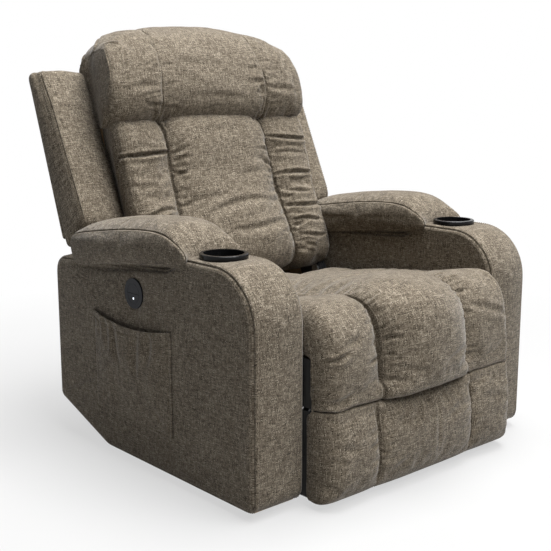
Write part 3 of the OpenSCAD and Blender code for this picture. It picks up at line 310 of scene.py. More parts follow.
def slab_faces(m, n):
    """Faces of a slab of two grids of m by n points, the outer grid first: quads on both and a wall round the rim."""
    i, j = np.meshgrid(np.arange(m - 1), np.arange(n - 1), indexing="ij")
    quads = np.stack([i * n + j, i * n + j + 1, (i + 1) * n + j + 1, (i + 1) * n + j], -1).reshape(-1, 4)
    across, down = np.arange(n), np.arange(1, m) * n
    rim = np.concatenate([across, down + n - 1, m * n - 2 - across[:-1], down[-2::-1]])
    nxt = np.roll(rim, -1)
    walls = np.stack([rim, rim + m * n, nxt + m * n, nxt], -1)
    return np.vstack([quads, quads[:, ::-1] + m * n, walls])


def points_of(obj):
    """Places of a mesh's points as an array."""
    co = np.empty(len(obj.data.vertices) * 3)
    obj.data.vertices.foreach_get("co", co)
    return co.reshape(-1, 3)


def normals_of(obj):
    """Directions that a mesh's points face."""
    co = np.empty(len(obj.data.vertices) * 3)
    obj.data.vertex_normals.foreach_get("vector", co)
    return co.reshape(-1, 3)


def move_to(obj, co):
    """Puts a mesh's points at new places."""
    obj.data.vertices.foreach_set("co", np.asarray(co).reshape(-1))
    obj.data.update()


def dent(obj, depth):
    """Moves each point along its normal by a depth in millimetres: positive swells, negative presses in."""
    move_to(obj, points_of(obj) + normals_of(obj) * (np.asarray(depth).reshape(-1, 1) / 1000))


def swell(obj, held, pressure, slack, reach, frames=20):
    """Cloth simulation of a cover under the push of its filling.

    held is 1 where the cover is sewn down or lies on the frame. The cover is cut larger by the share slack.
    A point that moved by m ends at reach times tanh(m / reach) along the same way.
    """
    scene = bpy.context.scene
    start = points_of(obj)
    group = obj.vertex_groups.new(name="held")
    level = np.round(np.clip(held, 0, 1) * 10).astype(int)
    for value in range(1, 11):
        group.add(np.nonzero(level == value)[0].tolist(), value / 10, "REPLACE")
    cloth = obj.modifiers.new("cover", "CLOTH")
    rules = cloth.settings
    rules.quality = 6
    rules.mass = 0.3
    rules.tension_stiffness = rules.compression_stiffness = 15
    rules.shear_stiffness = 6
    rules.bending_stiffness = 0.6
    rules.use_pressure = True
    rules.uniform_pressure_force = pressure
    rules.vertex_group_mass = group.name
    rules.shrink_min = -slack
    rules.effector_weights.gravity = 0
    cloth.collision_settings.use_collision = False
    for number in range(1, frames + 1):
        scene.frame_set(number)
    evaluated = obj.evaluated_get(bpy.context.evaluated_depsgraph_get())
    moved = points_of(evaluated) - start
    obj.modifiers.remove(cloth)
    obj.vertex_groups.remove(group)
    scene.frame_set(1)
    size = np.linalg.norm(moved, axis=1, keepdims=True) + 1e-9
    limit = reach / 1000
    move_to(obj, start + moved / size * limit * np.tanh(size / limit))


def refined(obj, *fields):
    """One level of subdivision made final; values per point are carried to the new points and given back.

    The first points of the new mesh are the old ones in their old order.
    """
    names = [f"carried_{k}" for k in range(len(fields))]
    for name, values in zip(names, fields):
        obj.data.attributes.new(name, "FLOAT", "POINT").data.foreach_set("value", np.asarray(values, np.float32))
    sub = obj.modifiers.new("skin", "SUBSURF")
    sub.levels = sub.render_levels = 1
    keep_result(obj, sub)
    out = []
    for name in names:
        values = np.empty(len(obj.data.vertices), np.float32)
        obj.data.attributes[name].data.foreach_get("value", values)
        out.append(values.astype(float))
        obj.data.attributes.remove(obj.data.attributes[name])
    return out


def keep_result(obj, modifier):
    """Replaces an object's mesh by what a modifier makes of it."""
    bpy.context.view_layer.update()
    whole = bpy.data.meshes.new_from_object(obj.evaluated_get(bpy.context.evaluated_depsgraph_get()))
    obj.modifiers.remove(modifier)
    old, obj.data = obj.data, whole
    bpy.data.meshes.remove(old)
    whole.name = obj.name


def smooth_skin(obj):
    """One level of subdivision over a finished skin."""
    sub = obj.modifiers.new("skin", "SUBSURF")
    sub.levels = sub.render_levels = 1
    sub.boundary_smooth = "PRESERVE_CORNERS"


def stitch_row(paths, sizes):
    """Points and faces of rows of stitches on paths of (points, normals) in metres.

    Each stitch is an arch of thread: rings of points along its length, whose height over the cloth is a parabola
    that ends below the cloth.
    """
    pitch, length = sizes.stitch_pitch, sizes.stitch_pitch * 0.74
    thick, rise, sunk, k = 0.00055, 0.0011, 0.0006, 5
    starts, ends, ups = [], [], []
    for points, normals in paths:
        s = along(points)
        t = np.arange(pitch / 2, s[-1] - pitch, pitch)
        starts.append(read_off(t, s, points))
        ends.append(read_off(t + length, s, points))
        ups.append(read_off(t + length / 2, s, normals))
    a, b, up = np.vstack(starts), np.vstack(ends), np.vstack(ups)
    up /= np.linalg.norm(up, axis=1, keepdims=True) + 1e-12
    side = np.cross(b - a, up)
    side /= np.linalg.norm(side, axis=1, keepdims=True) + 1e-12
    u = np.linspace(0, 1, k)
    turn = (np.arange(k) * 2 * math.pi / k)[None, None, :, None]
    middle = a[:, None] + (b - a)[:, None] * u[None, :, None]
    middle = middle + up[:, None] * (rise * 4 * u * (1 - u) - sunk)[None, :, None]
    ring = np.cos(turn) * side[:, None, None] + np.sin(turn) * up[:, None, None]
    verts = (middle[:, :, None] + thick * ring).reshape(-1, 3)
    r, q = np.meshgrid(np.arange(k - 1), np.arange(k), indexing="ij")
    nxt = (q + 1) % k
    one = np.stack([r * k + q, r * k + nxt, (r + 1) * k + nxt, (r + 1) * k + q], -1).reshape(-1, 4)
    first = np.arange(len(a))[:, None] * k * k
    faces = (first[..., None] + one[None]).reshape(-1, 4)
    caps = np.vstack([first + np.arange(k)[::-1], first + (k - 1) * k + np.arange(k)])
    return verts, faces, caps


def stitches(name, skin, rows, sizes, body):
    """Piece of thread on a skin: a row of stitches along each list of its points, riding on a body."""
    co, nrm = points_of(skin), normals_of(skin)
    verts, faces, caps = stitch_row([(co[row], nrm[row]) for row in rows], sizes)
    flat = [np.zeros((*g.shape, 2)) for g in (faces, caps)]
    obj = put(name, verts, [faces, caps], flat, named("thread"))
    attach(obj, body)


class Nodes:
    """Short way to lay out a node tree: each call makes one node and returns its first output."""

    def __init__(self, tree):
        self.tree = tree

    def plug(self, value, socket):
        """Joins an output to a socket, or sets the socket's value."""
        if isinstance(value, bpy.types.NodeSocket):
            self.tree.links.new(value, socket)
        else:
            socket.default_value = value

    def add(self, kind, inputs=None, **settings):
        """New node of a kind, with its settings and its inputs by name or number."""
        node = self.tree.nodes.new(kind)
        for key, value in settings.items():
            setattr(node, key, value)
        return self.feed(node, inputs or {})

    def feed(self, node, inputs):
        """Joins or sets a node's inputs by name or number."""
        for key, value in inputs.items():
            self.plug(value, node.inputs[key])
        return node

    def math(self, operation, a, b=0.0, clamp=False):
        """One sum."""
        return self.add("ShaderNodeMath", {0: a, 1: b}, operation=operation, use_clamp=clamp).outputs[0]

    def mix(self, share, a, b, blend="MIX"):
        """Two colours mixed."""
        node = self.add("ShaderNodeMix", data_type="RGBA", blend_type=blend)
        for value, socket in zip((share, a, b), (node.inputs[0], node.inputs[6], node.inputs[7])):
            self.plug(value, socket)
        return node.outputs[2]

    def spread(self, value, low, high, to_low=0.0, to_high=1.0):
        """A value carried from one range to another and kept inside it."""
        ends = {0: value, 1: low, 2: high, 3: to_low, 4: to_high}
        return self.add("ShaderNodeMapRange", ends).outputs[0]

    def noise(self, vector, scale, detail=2.0, rough=0.5):
        """Smooth noise at a scale."""
        ends = {"Vector": vector, "Scale": scale, "Detail": detail, "Roughness": rough}
        return self.add("ShaderNodeTexNoise", ends).outputs[0]

    def vector(self, x, y, z=0.0):
        """Three numbers as a vector."""
        return self.add("ShaderNodeCombineXYZ", {0: x, 1: y, 2: z}).outputs[0]

    def stretched(self, vector, scale):
        """Coordinates scaled along each axis."""
        return self.add("ShaderNodeMapping", {"Vector": vector, "Scale": scale}).outputs[0]

    def bump(self, height, distance, strength):
        """Normals tilted by a height."""
        return self.add("ShaderNodeBump", {"Height": height, "Distance": distance, "Strength": strength}).outputs[0]

    def seen(self):
        """1 for rays of the camera, of gloss and of glass, else 0."""
        path = self.add("ShaderNodeLightPath").outputs
        mirrored = self.math("MAXIMUM", path["Is Glossy Ray"], path["Is Transmission Ray"])
        return self.math("MAXIMUM", path["Is Camera Ray"], mirrored)

    def chosen(self, share, a, b):
        """One of two values: a where share is 1, b where it is 0."""
        rest = self.math("SUBTRACT", 1.0, share)
        return self.math("ADD", self.math("MULTIPLY", a, share), self.math("MULTIPLY", b, rest))


def group_of(name, inputs):
    """New node group that puts out a surface's colour, height and roughness.

    Gives back the group, its node helper, its input node and its output node.
    """
    tree = bpy.data.node_groups.new(name, "ShaderNodeTree")
    for label, kind, default in inputs:
        socket = tree.interface.new_socket(label, in_out="INPUT", socket_type=kind)
        if default is not None:
            socket.default_value = default
    for label, kind in (("Color", "NodeSocketColor"), ("Height", "NodeSocketFloat"), ("Roughness", "NodeSocketFloat")):
        tree.interface.new_socket(label, in_out="OUTPUT", socket_type=kind)
    n = Nodes(tree)
    return tree, n, n.add("NodeGroupInput"), n.add("NodeGroupOutput")


def weave_group():
    """Plain weave with slubs: warp and weft cross in a chequer, each yarn has a tone that drifts along its length, and
    painted shade darkens each yarn where it dips between crossings.
    """
    tree, n, given, out = group_of(
        "plain weave",
        [
            ("Vector", "NodeSocketVector", None),
            ("Pitch", "NodeSocketFloat", 0.0025),
            ("Dark", "NodeSocketColor", (0.04, 0.03, 0.025, 1)),
            ("Ground", "NodeSocketColor", (0.15, 0.12, 0.1, 1)),
            ("Light", "NodeSocketColor", (0.4, 0.35, 0.28, 1)),
        ],
    )
    parts = n.add("ShaderNodeSeparateXYZ", {0: given.outputs["Vector"]}).outputs
    wander = n.math("SUBTRACT", n.noise(given.outputs["Vector"], 40.0, 2.0), 0.5)
    u = n.math("ADD", n.math("DIVIDE", parts[0], given.outputs["Pitch"]), n.math("MULTIPLY", wander, 0.7))
    v = n.math("ADD", n.math("DIVIDE", parts[1], given.outputs["Pitch"]), n.math("MULTIPLY", wander, -0.6))
    iu, iv = n.math("FLOOR", u), n.math("FLOOR", v)
    su = n.math("SINE", n.math("MULTIPLY", n.math("SUBTRACT", u, iu), math.pi))
    sv = n.math("SINE", n.math("MULTIPLY", n.math("SUBTRACT", v, iv), math.pi))
    over = n.math("FLOORED_MODULO", n.math("ADD", iu, iv), 2.0)
    warp = n.noise(n.vector(n.math("MULTIPLY", iu, 5.17), n.math("MULTIPLY", v, 0.13)), 1.0, 2.0, 0.6)
    weft = n.noise(n.vector(n.math("MULTIPLY", u, 0.13), n.math("MULTIPLY", iv, 5.17), 9.0), 1.0, 2.0, 0.6)
    cell = n.add("ShaderNodeTexWhiteNoise", {"Vector": n.vector(iu, iv, 4.0)}).outputs[0]
    tone = n.chosen(over, warp, weft)
    tone = n.math("ADD", tone, n.math("MULTIPLY", n.math("SUBTRACT", cell, 0.5), 0.16))
    cloud = n.noise(given.outputs["Vector"], 14.0, 3.0)
    tone = n.math("ADD", tone, n.math("MULTIPLY", n.math("SUBTRACT", cloud, 0.5), 0.08))
    colour = n.mix(n.spread(tone, 0.30, 0.50), given.outputs["Dark"], given.outputs["Ground"])
    colour = n.mix(n.spread(tone, 0.52, 0.74), colour, given.outputs["Light"])
    rise_warp = n.math("MULTIPLY", su, n.math("ADD", n.math("MULTIPLY", sv, 0.5), 0.5))
    rise_weft = n.math("MULTIPLY", sv, n.math("ADD", n.math("MULTIPLY", su, 0.5), 0.5))
    rise = n.chosen(over, rise_warp, rise_weft)
    # Painted shade: the colour falls to 0.55 of its tone where a yarn sinks between crossings
    shade = n.spread(rise, 0.0, 0.8, 0.55, 1.06)
    colour = n.mix(1.0, colour, n.vector(shade, shade, shade), "MULTIPLY")
    thick = n.math("ADD", n.math("MULTIPLY", rise, 0.75), n.math("MULTIPLY", tone, 0.5))
    n.feed(out, {"Color": colour, "Height": thick, "Roughness": n.spread(tone, 0.3, 0.7, 0.94, 0.84)})
    return tree


def grain_group():
    """Fine skin of a moulded or coated surface: small pits, and slow changes of gloss with a little dust."""
    tree, n, given, out = group_of(
        "moulded grain",
        [
            ("Vector", "NodeSocketVector", None),
            ("Scale", "NodeSocketFloat", 900.0),
            ("Base", "NodeSocketColor", (0.02, 0.02, 0.02, 1)),
            ("Dust", "NodeSocketColor", (0.2, 0.19, 0.17, 1)),
            ("Gloss", "NodeSocketFloat", 0.4),
        ],
    )
    spot = given.outputs["Vector"]
    pits = n.noise(spot, given.outputs["Scale"], 2.0, 0.55)
    slow = n.noise(spot, 28.0, 4.0, 0.6)
    speck = n.spread(n.noise(spot, 420.0, 2.0, 0.7), 0.62, 0.8, 0.0, 0.10)
    veil = n.math("ADD", n.spread(slow, 0.45, 0.8, 0.0, 0.05), speck)
    colour = n.mix(veil, given.outputs["Base"], given.outputs["Dust"])
    rough = n.math("ADD", given.outputs["Gloss"], n.spread(slow, 0.3, 0.7, -0.06, 0.1))
    rough = n.math("ADD", rough, n.math("MULTIPLY", speck, 1.5), True)
    n.feed(out, {"Color": colour, "Height": pits, "Roughness": rough})
    return tree


def blank(name):
    """New material: (material, its node helper, its shader, its texture coordinates)."""
    material = bpy.data.materials.new(name)
    material.use_nodes = True
    n = Nodes(material.node_tree)
    return material, n, material.node_tree.nodes["Principled BSDF"], n.add("ShaderNodeTexCoord").outputs


def finish_with(name, group, vector, values, bump, **shader):
    """Material of one node group: its colour, roughness and height feed one shader; bump is (distance, strength)."""
    material, n, bsdf, where = blank(name)
    skin = n.add("ShaderNodeGroup", {"Vector": where[vector], **values}, node_tree=group).outputs
    n.feed(bsdf, {"Base Color": skin["Color"], "Roughness": skin["Roughness"], "Normal": n.bump(skin["Height"], *bump)})
    n.feed(bsdf, {key.replace("_", " "): value for key, value in shader.items()})
    return material


def wood_finish():
    """Sawn softwood and plywood: long rings stretched along x by noise, with fine fibres."""
    material, n, bsdf, where = blank("frame wood")
    fibre = n.noise(n.stretched(where["Object"], (30.0, 600.0, 60.0)), 1.0, 3.0)
    rings = n.noise(n.stretched(where["Object"], (2.0, 14.0, 3.0)), 1.6, 3.0)
    rings = n.math("FRACT", n.math("MULTIPLY", rings, 9.0))
    grain = n.math("ADD", n.math("MULTIPLY", rings, 0.7), n.math("MULTIPLY", fibre, 0.5))
    colour = n.mix(grain, (0.60, 0.43, 0.25, 1), (0.40, 0.25, 0.12, 1))
    rough = n.spread(fibre, 0.2, 0.8, 0.62, 0.8)
    n.feed(bsdf, {"Base Color": colour, "Roughness": rough, "Normal": n.bump(grain, 0.0003, 0.5)})
    return material


def steel_finish():
    """Zinc-plated steel: pale crystals of slightly different gloss under fine scratches."""
    material, n, bsdf, where = blank("bright steel")
    crystal = n.add("ShaderNodeTexVoronoi", {"Vector": where["Object"], "Scale": 260.0}).outputs["Color"]
    value = n.add("ShaderNodeSeparateColor", {0: crystal}).outputs[0]
    scratch = n.noise(n.stretched(where["Object"], (40.0, 40.0, 1800.0)), 1.0)
    colour = n.mix(value, (0.52, 0.53, 0.55, 1), (0.66, 0.67, 0.68, 1))
    rough = n.math("ADD", n.spread(value, 0, 1, 0.26, 0.36), n.spread(scratch, 0.4, 0.7, 0.0, 0.12))
    bump = n.bump(scratch, 0.0001, 0.3)
    n.feed(bsdf, {"Base Color": colour, "Roughness": rough, "Normal": bump, "Metallic": 1.0})
    return material


def glow_spot_finish():
    """Small white spot on the switch that glows by emission: cloudy from a cold white to a pure white."""
    material, n, bsdf, where = blank("glowing white spot")
    cloud = n.noise(where["Object"], 900.0, 2.0)
    glow = n.mix(n.spread(cloud, 0.3, 0.7), (0.75, 0.85, 1.0, 1), (1.0, 1.0, 1.0, 1))
    rough = n.spread(cloud, 0.3, 0.7, 0.2, 0.35)
    # The spot glows by emission at strength 1.6, in the colour of its cloud
    n.feed(bsdf, {"Base Color": glow, "Emission Color": glow, "Roughness": rough, "Emission Strength": 1.6})
    return material


def opaque(colour):
    """Colour with full alpha."""
    return (*colour, 1.0)


def named(name):
    """Material made earlier by the finishes operator."""
    if name not in bpy.data.materials:
        raise RuntimeError("run the finishes operator first")
    return bpy.data.materials[name]


def dressed(obj, body, nodes):
    """Makes a finished soft piece ride on its body and stand for its CAD nodes, which it hides."""
    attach(obj, body)
    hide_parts(*nodes)


class RECLINER_OT_finishes(bpy.types.Operator):
    """Makes the materials and puts them on the frame's own parts"""

    bl_idname = "recliner.finishes"
    bl_label = "Finishes"

    def execute(self, context):
        sizes, colours = context.scene.recliner_sizes, context.scene.recliner_colours
        weave, grain = weave_group(), grain_group()
        tweed = {
            "Pitch": sizes.yarn_pitch,
            "Dark": opaque(colours.yarn_dark),
            "Ground": opaque(colours.yarn_mid),
            "Light": opaque(colours.yarn_light),
        }
        finish_with(
            "tweed", weave, "UV", tweed, (0.0007, 0.5), Sheen_Weight=0.24, Sheen_Roughness=0.4, Specular_IOR_Level=0.15
        )
        thread = {"Scale": 2600.0, "Base": opaque(colours.thread), "Gloss": 0.7}
        finish_with("thread", grain, "Object", thread, (0.0002, 0.6), Specular_IOR_Level=0.3)
        black = opaque(colours.black)
        webbing = {
            "Pitch": 0.0021,
            "Dark": (0.006, 0.006, 0.006, 1),
            "Ground": (0.022, 0.021, 0.02, 1),
            "Light": (0.07, 0.068, 0.065, 1),
        }
        # Near-black cloth of the lining; the same material colours the flaps of painted shade beside the seat and the
        # leg rest
        lining = {
            "Pitch": 0.0011,
            "Dark": (0.008, 0.008, 0.008, 1),
            "Ground": (0.02, 0.019, 0.018, 1),
            "Light": (0.05, 0.048, 0.045, 1),
        }
        gloss = {"Scale": 180.0, "Base": black, "Dust": (0.02, 0.02, 0.02, 1), "Gloss": 0.2}
        plastic = {"Scale": 1400.0, "Base": (0.009, 0.010, 0.013, 1), "Dust": (0.04, 0.04, 0.045, 1), "Gloss": 0.42}
        rubber = {"Scale": 700.0, "Base": (0.02, 0.02, 0.02, 1), "Gloss": 0.75}
        paint = {"Scale": 480.0, "Base": opaque(colours.steel_paint), "Gloss": 0.4}
        shine = {"Specular_IOR_Level": 0.12, "Coat_Weight": 0.08, "Coat_Roughness": 0.06}
        slots = {
            "gloss_black": finish_with("gloss black", grain, "Object", gloss, (0.00004, 0.3), **shine),
            "black_plastic": finish_with(
                "black plastic", grain, "Object", plastic, (0.00012, 0.5), Specular_IOR_Level=0.12
            ),
            "rubber": finish_with("rubber", grain, "Object", rubber, (0.0002, 0.5)),
            "dark_steel": finish_with("powder coat", grain, "Object", paint, (0.00018, 0.5)),
            "webbing": finish_with("webbing", weave, "Object", webbing, (0.0006, 0.6)),
            "lining": finish_with("lining and shade flap cloth", weave, "Object", lining, (0.0002, 0.5)),
            "frame_wood": wood_finish(),
            "bright_steel": steel_finish(),
            "indicator": glow_spot_finish(),
            "upholstery": named("tweed"),
        }
        for part in frame["record"]["subparts"]:
            for held in frame["nodes"][part["node"]].material_slots:
                held.material = slots[part["material_slot"]]
        return {"FINISHED"}


def arm_outline():
    """Side outline of an arm in (d, h): toe, foot, upswept heel, rear corner, sloping ledge, ramp, deck, front arc."""
    turn = np.linspace(0, math.pi / 2, 24)
    arc = lambda c, r, start: np.stack([c[0] + r * np.cos(turn + start), c[1] + r * np.sin(turn + start)], -1)
    line = np.vstack(
        [
            arc((ARM_TOE_R, ARM_TOE_R), ARM_TOE_R, math.pi),
            [[ARM_LEN - KICK_LEN, 0], [ARM_LEN, KICK_H]],
            arc((ARM_LEN - ARM_BACK_R, LEDGE_BACK_H - ARM_BACK_R), ARM_BACK_R, 0),
            [[LEDGE_D, LEDGE_FRONT_H], [DECK_END, ARM_H]],
            arc((ARM_R, ARM_H - ARM_R), ARM_R, math.pi / 2),
        ]
    )
    return softened(evenly(line, 5.0), 2)


def both_faces(outer, band):
    """Sections from one face over the band to the other face, which mirrors the first."""
    return outer + band + [(-x, inset, share, on_face) for x, inset, share, on_face in reversed(outer)]


def boxed(name, line, sections, middle, body_x, skew):
    """Boxed skin round a side outline: each ring is the outline moved in by an inset at an x, then rings that shrink
    to the middle of each face.

    sections holds (x, inset array or number, share of the way to the middle, whether it lies on a face). The band
    takes its UV from the run across it and the distance along the outline, the faces from d and h.
    """
    normal = outward(line)
    n = len(line)
    rings = []
    for x, inset, share, _ in sections:
        edge = line - normal * np.broadcast_to(np.asarray(inset, float), (n,))[:, None]
        edge = edge + (np.asarray(middle) - edge) * share
        rings.append(np.column_stack([np.full(n, x), edge]))
    rings = skew(np.array(rings))
    run = np.concatenate([np.zeros((1, n)), np.cumsum(np.linalg.norm(np.diff(rings, axis=0), axis=2), 0)])
    s = np.broadcast_to(along(line, True), (len(rings), n + 1))
    uv = np.stack([wrapped(run - run[len(rings) // 2]), s], -1) / 1000
    flat = wrapped(rings[..., 1:]) / 1000
    face = np.array([g[3] for g in sections])
    grid = place(rings + [body_x, 0, 0])
    return loft(name, grid, uv, flat, face[:-1] & face[1:])


def cut_round(obj, centre, axis, radius, depth, sides=64):
    """Cuts a round hole: the difference from a drum of many sides about the centre, in metres."""
    k = np.arange(sides)
    turn = k * 2 * math.pi / sides
    e1, e2 = np.roll(np.eye(3), 1, 0)[axis], np.roll(np.eye(3), 2, 0)[axis]
    ring = radius * (np.cos(turn)[:, None] * e1 + np.sin(turn)[:, None] * e2)
    off = np.eye(3)[axis] * depth / 2
    verts = np.vstack([ring - off, ring + off]) + centre
    nxt = np.roll(k, -1)
    walls = np.stack([k, nxt, sides + nxt, sides + k], -1)
    ends = [k[None, ::-1], sides + k[None]]
    zero = [np.zeros((*g.shape, 2)) for g in (walls, *ends)]
    drum = put("drum", verts, [walls, *ends], zero, obj.data.materials[0], False)
    cut = obj.modifiers.new("hole", "BOOLEAN")
    cut.object, cut.operation, cut.solver = drum, "DIFFERENCE", "MANIFOLD"
    keep_result(obj, cut)
    mesh = drum.data
    bpy.data.objects.remove(drum)
    bpy.data.meshes.remove(mesh)


class RECLINER_OT_arm_covers(bpy.types.Operator):
    """Boxed covers of both arms: flat faces, a crowned band and a double-stitched seam along each edge"""

    bl_idname = "recliner.arm_covers"
    bl_label = "Arm covers"

    def execute(self, context):
        sizes = context.scene.recliner_sizes
        line = arm_outline()
        groove = sizes.seam_depth * 1000
        middle = (372.0, 235.0)
        half = ARM_W / 2
        ring_shares = (0.96, 0.86, 0.72, 0.56, 0.4, 0.26, 0.14, 0.06)
        faces = [(half + 1.0 + 3.5 * f * (2 - f), 24.0, f, True) for f in ring_shares]
        edge = [
            (half + 1.0, 24.0, 0, True),
            (half + 0.8, 18.5, 0, True),
            (half + 0.4, 14.0, 0, True),
            (half - 0.2, 11.0, 0, True),
            (half - 1.0, 8.6, 0, True),
            (half - 2.0, 7.0, 0, True),
            (half - 2.6 - groove * 0.7, 5.4, 0, True),
            (half - 3.2 - groove * 0.9, 4.2 + groove * 0.4, 0, True),
            (half - 4.0 - groove * 0.4, 2.2, 0, False),
            (half - 5.2, 0.8, 0, False),
            (half - 7.4, -0.6, 0, False),
            (half - 10.5, -1.6, 0, False),
        ]
        top = np.clip((line[:, 1] - 60) / 80, 0, 1)
        level = np.exp(-(((line[:, 0] - CUP_D) / 72) ** 4)) * (line[:, 1] > 440)
        band = [
            (x, -(1.6 + 4.0 * (1 - (x / (half - 10.5)) ** 2)) * (0.35 + 0.65 * top) * (1 - 0.9 * level), 0, False)
            for x in np.linspace(half - 15, -half + 15, 17)
        ]
        sections = both_faces(faces + edge, band)
        n, last, seam = len(line), len(sections) - 1, len(faces) + 7
        for side, name in SIDES:

            def trimmed(rings):
                """Keeps the face towards the seat flat: its rise over the arm's half width is cut to a seventh."""
                over = np.maximum(0, -side * rings[..., 0] - half)
                rings[..., 0] += side * over * 6 / 7
                return rings

            obj = boxed(f"{name}_arm_upholstery", line, sections, middle, side * ARM_MID, trimmed)
            co = points_of(obj)
            d, h = co[:, 1] * 1000 + ORIGIN_D, co[:, 2] * 1000 - GLIDE_H
            x = co[:, 0] * 1000 - side * ARM_MID
            face = ease((np.abs(x) - half + 6) / 6) * np.where(x * side < 0, 0.15, 1.0)
            uneven = ripple(d, h, sizes.seed + side, ((260, 1.3), (120, 0.7)))
            pulls = creases(
                d,
                h,
                [
                    (236, 466, 668, 412, 6.0, 8, 0),
                    (560, 420, 690, 250, 1.4, 10, 6),
                    (640, 430, 700, 330, 1.2, 8, 4),
                    (60, 60, 40, 200, 1.2, 9, 3),
                    (140, 440, 60, 330, 1.3, 9, -6),
                    (590, 40, 700, 140, 1.5, 9, 5),
                ],
            )
            switch = np.exp(-((np.hypot(d - SWITCH_D, h - SWITCH_H) / 44) ** 4))
            outer = (x * side > half - 6) if side < 0 else np.zeros(len(x), bool)
            sunk = np.where(outer, -switch * np.maximum(0, np.abs(x) - half + 0.6), 0)
            dent(obj, face * (uneven + pulls) * (1 - switch * outer) + sunk)
            round_once = np.arange(n + 1) % n
            beside = (seam - 4, seam + 4, last - seam - 4, last - seam + 4)
            stitches(f"{name}_arm_stitches", obj, [ring * n + round_once for ring in beside], sizes, "base")
            cut_round(obj, place((side * ARM_MID, CUP_D, ARM_H)), 2, CUP_HOLE_R, 0.15)
            if side < 0:
                cut_round(obj, place((-SEAT_HALF - ARM_W, SWITCH_D, SWITCH_H)), 0, SWITCH_HOLE_R, 0.06)
            dressed(obj, "base", [f"{name}_arm_cover"])
        return {"FINISHED"}


class RECLINER_OT_arm_pads(bpy.types.Operator):
    """Boxed pillows on the arms: a side panel with a seam round it and a domed band over the top and front"""

    bl_idname = "recliner.arm_pads"
    bl_label = "Arm pads"

    def execute(self, context):
        sizes = context.scene.recliner_sizes
        crown = sizes.pad_crown * 1000
        groove = sizes.seam_depth * 1000
        knots = [
            (228, 480), (242, 472), (271, 466), (357, 456), (434, 448), (538, 433), (622, 421), (645, 426),
            (659, 446), (663, 472), (653, 491), (612, 503), (512, 519), (424, 531), (353, 537), (304, 537),
            (268, 531), (239, 517), (226, 500), (222.5, 489),
        ]
        line = evenly(spline(knots, steps_for(knots, 4.0)), 5.0)
        half = PAD_HALF
        ledge = np.interp(line[:, 0], [232, LEDGE_D, 640], [488, LEDGE_FRONT_H, 441])
        free = ease((line[:, 1] - ledge - 8) / 34)
        domed = free * (0.35 + 0.65 * ease((line[:, 0] - 238) / 60)) * (0.4 + 0.6 * ease((660 - line[:, 0]) / 60))
        middle = (430.0, 491.0)
        shares = (0.94, 0.8, 0.62, 0.44, 0.28, 0.12)
        faces = [(half + 1.5 + 8.0 * f * (2 - f), 10.0, f, True) for f in shares]
        edge = [
            (half + 1.5, 10.0, 0, True),
            (half + 0.8, 7.2, 0, True),
            (half - 0.6, 5.0, 0, True),
            (half - 2.2, 3.4, 0, True),
            (half - 3.4 - groove * 0.9, 2.6 + groove * 0.5, 0, True),
            (half - 4.4, 0.8, 0, False),
            (half - 5.6, 0.0, 0, False),
        ]
        t = np.linspace(1, -1, 37)[1:-1]
        dome = [((half - 5.6) * v, -crown * np.sqrt(1 - v * v) ** 1.15 * domed, 0, False) for v in t]
        sections = both_faces(faces + edge, dome)
        n, last, seam = len(line), len(sections) - 1, len(faces) + 4

        def nosed(rings):
            """Draws the lower front corners forward beside the cup: d falls by 22 mm times x over the half width to
            the power of four."""
            low = ease((300 - rings[..., 1]) / 70) * ease((528 - rings[..., 2]) / 30)
            rings[..., 1] -= 22 * low * np.minimum(1, np.abs(rings[..., 0]) / half) ** 4
            return rings

        ring = np.repeat(np.arange(last + 1), n)
        spot = np.tile(np.arange(n), last + 1)
        s = along(line, True)[spot]
        sewn = np.exp(-((np.minimum(abs(ring - seam), abs(ring - last + seam)) / 1.2) ** 2))
        for side, name in SIDES:
            obj = boxed(f"{name}_arm_pillow", line, sections, middle, side * ARM_MID, nosed)
            swell(obj, np.maximum(sewn, 1 - free[spot]), 2.5, sizes.cover_slack * 0.1, 7)
            x = points_of(obj)[:, 0] * 1000 - side * ARM_MID
            rng = np.random.default_rng(sizes.seed + 20 + side)
            folds = ((half - 6, 1150, 560, 16, -1, 22, 0.6), (-half + 6, 1150, 560, 16, 1, 22, 0.6))
            lines = gathers(rng, folds)
            band = (abs(x) < half - 4) * free[spot]
            dent(obj, band * (creases(x, s, lines) + ripple(x, s, sizes.seed + 3, ((180, 1.6), (70, 0.7)))))
            open_edge = np.nonzero(free > 0.5)[0]
            rows = [k * n + open_edge for k in (seam - 2, last - seam + 2)]
            stitches(f"{name}_pillow_stitches", obj, rows, sizes, "base")
            smooth_skin(obj)
            dressed(obj, "base", [f"{name}_arm_pad"])
        return {"FINISHED"}


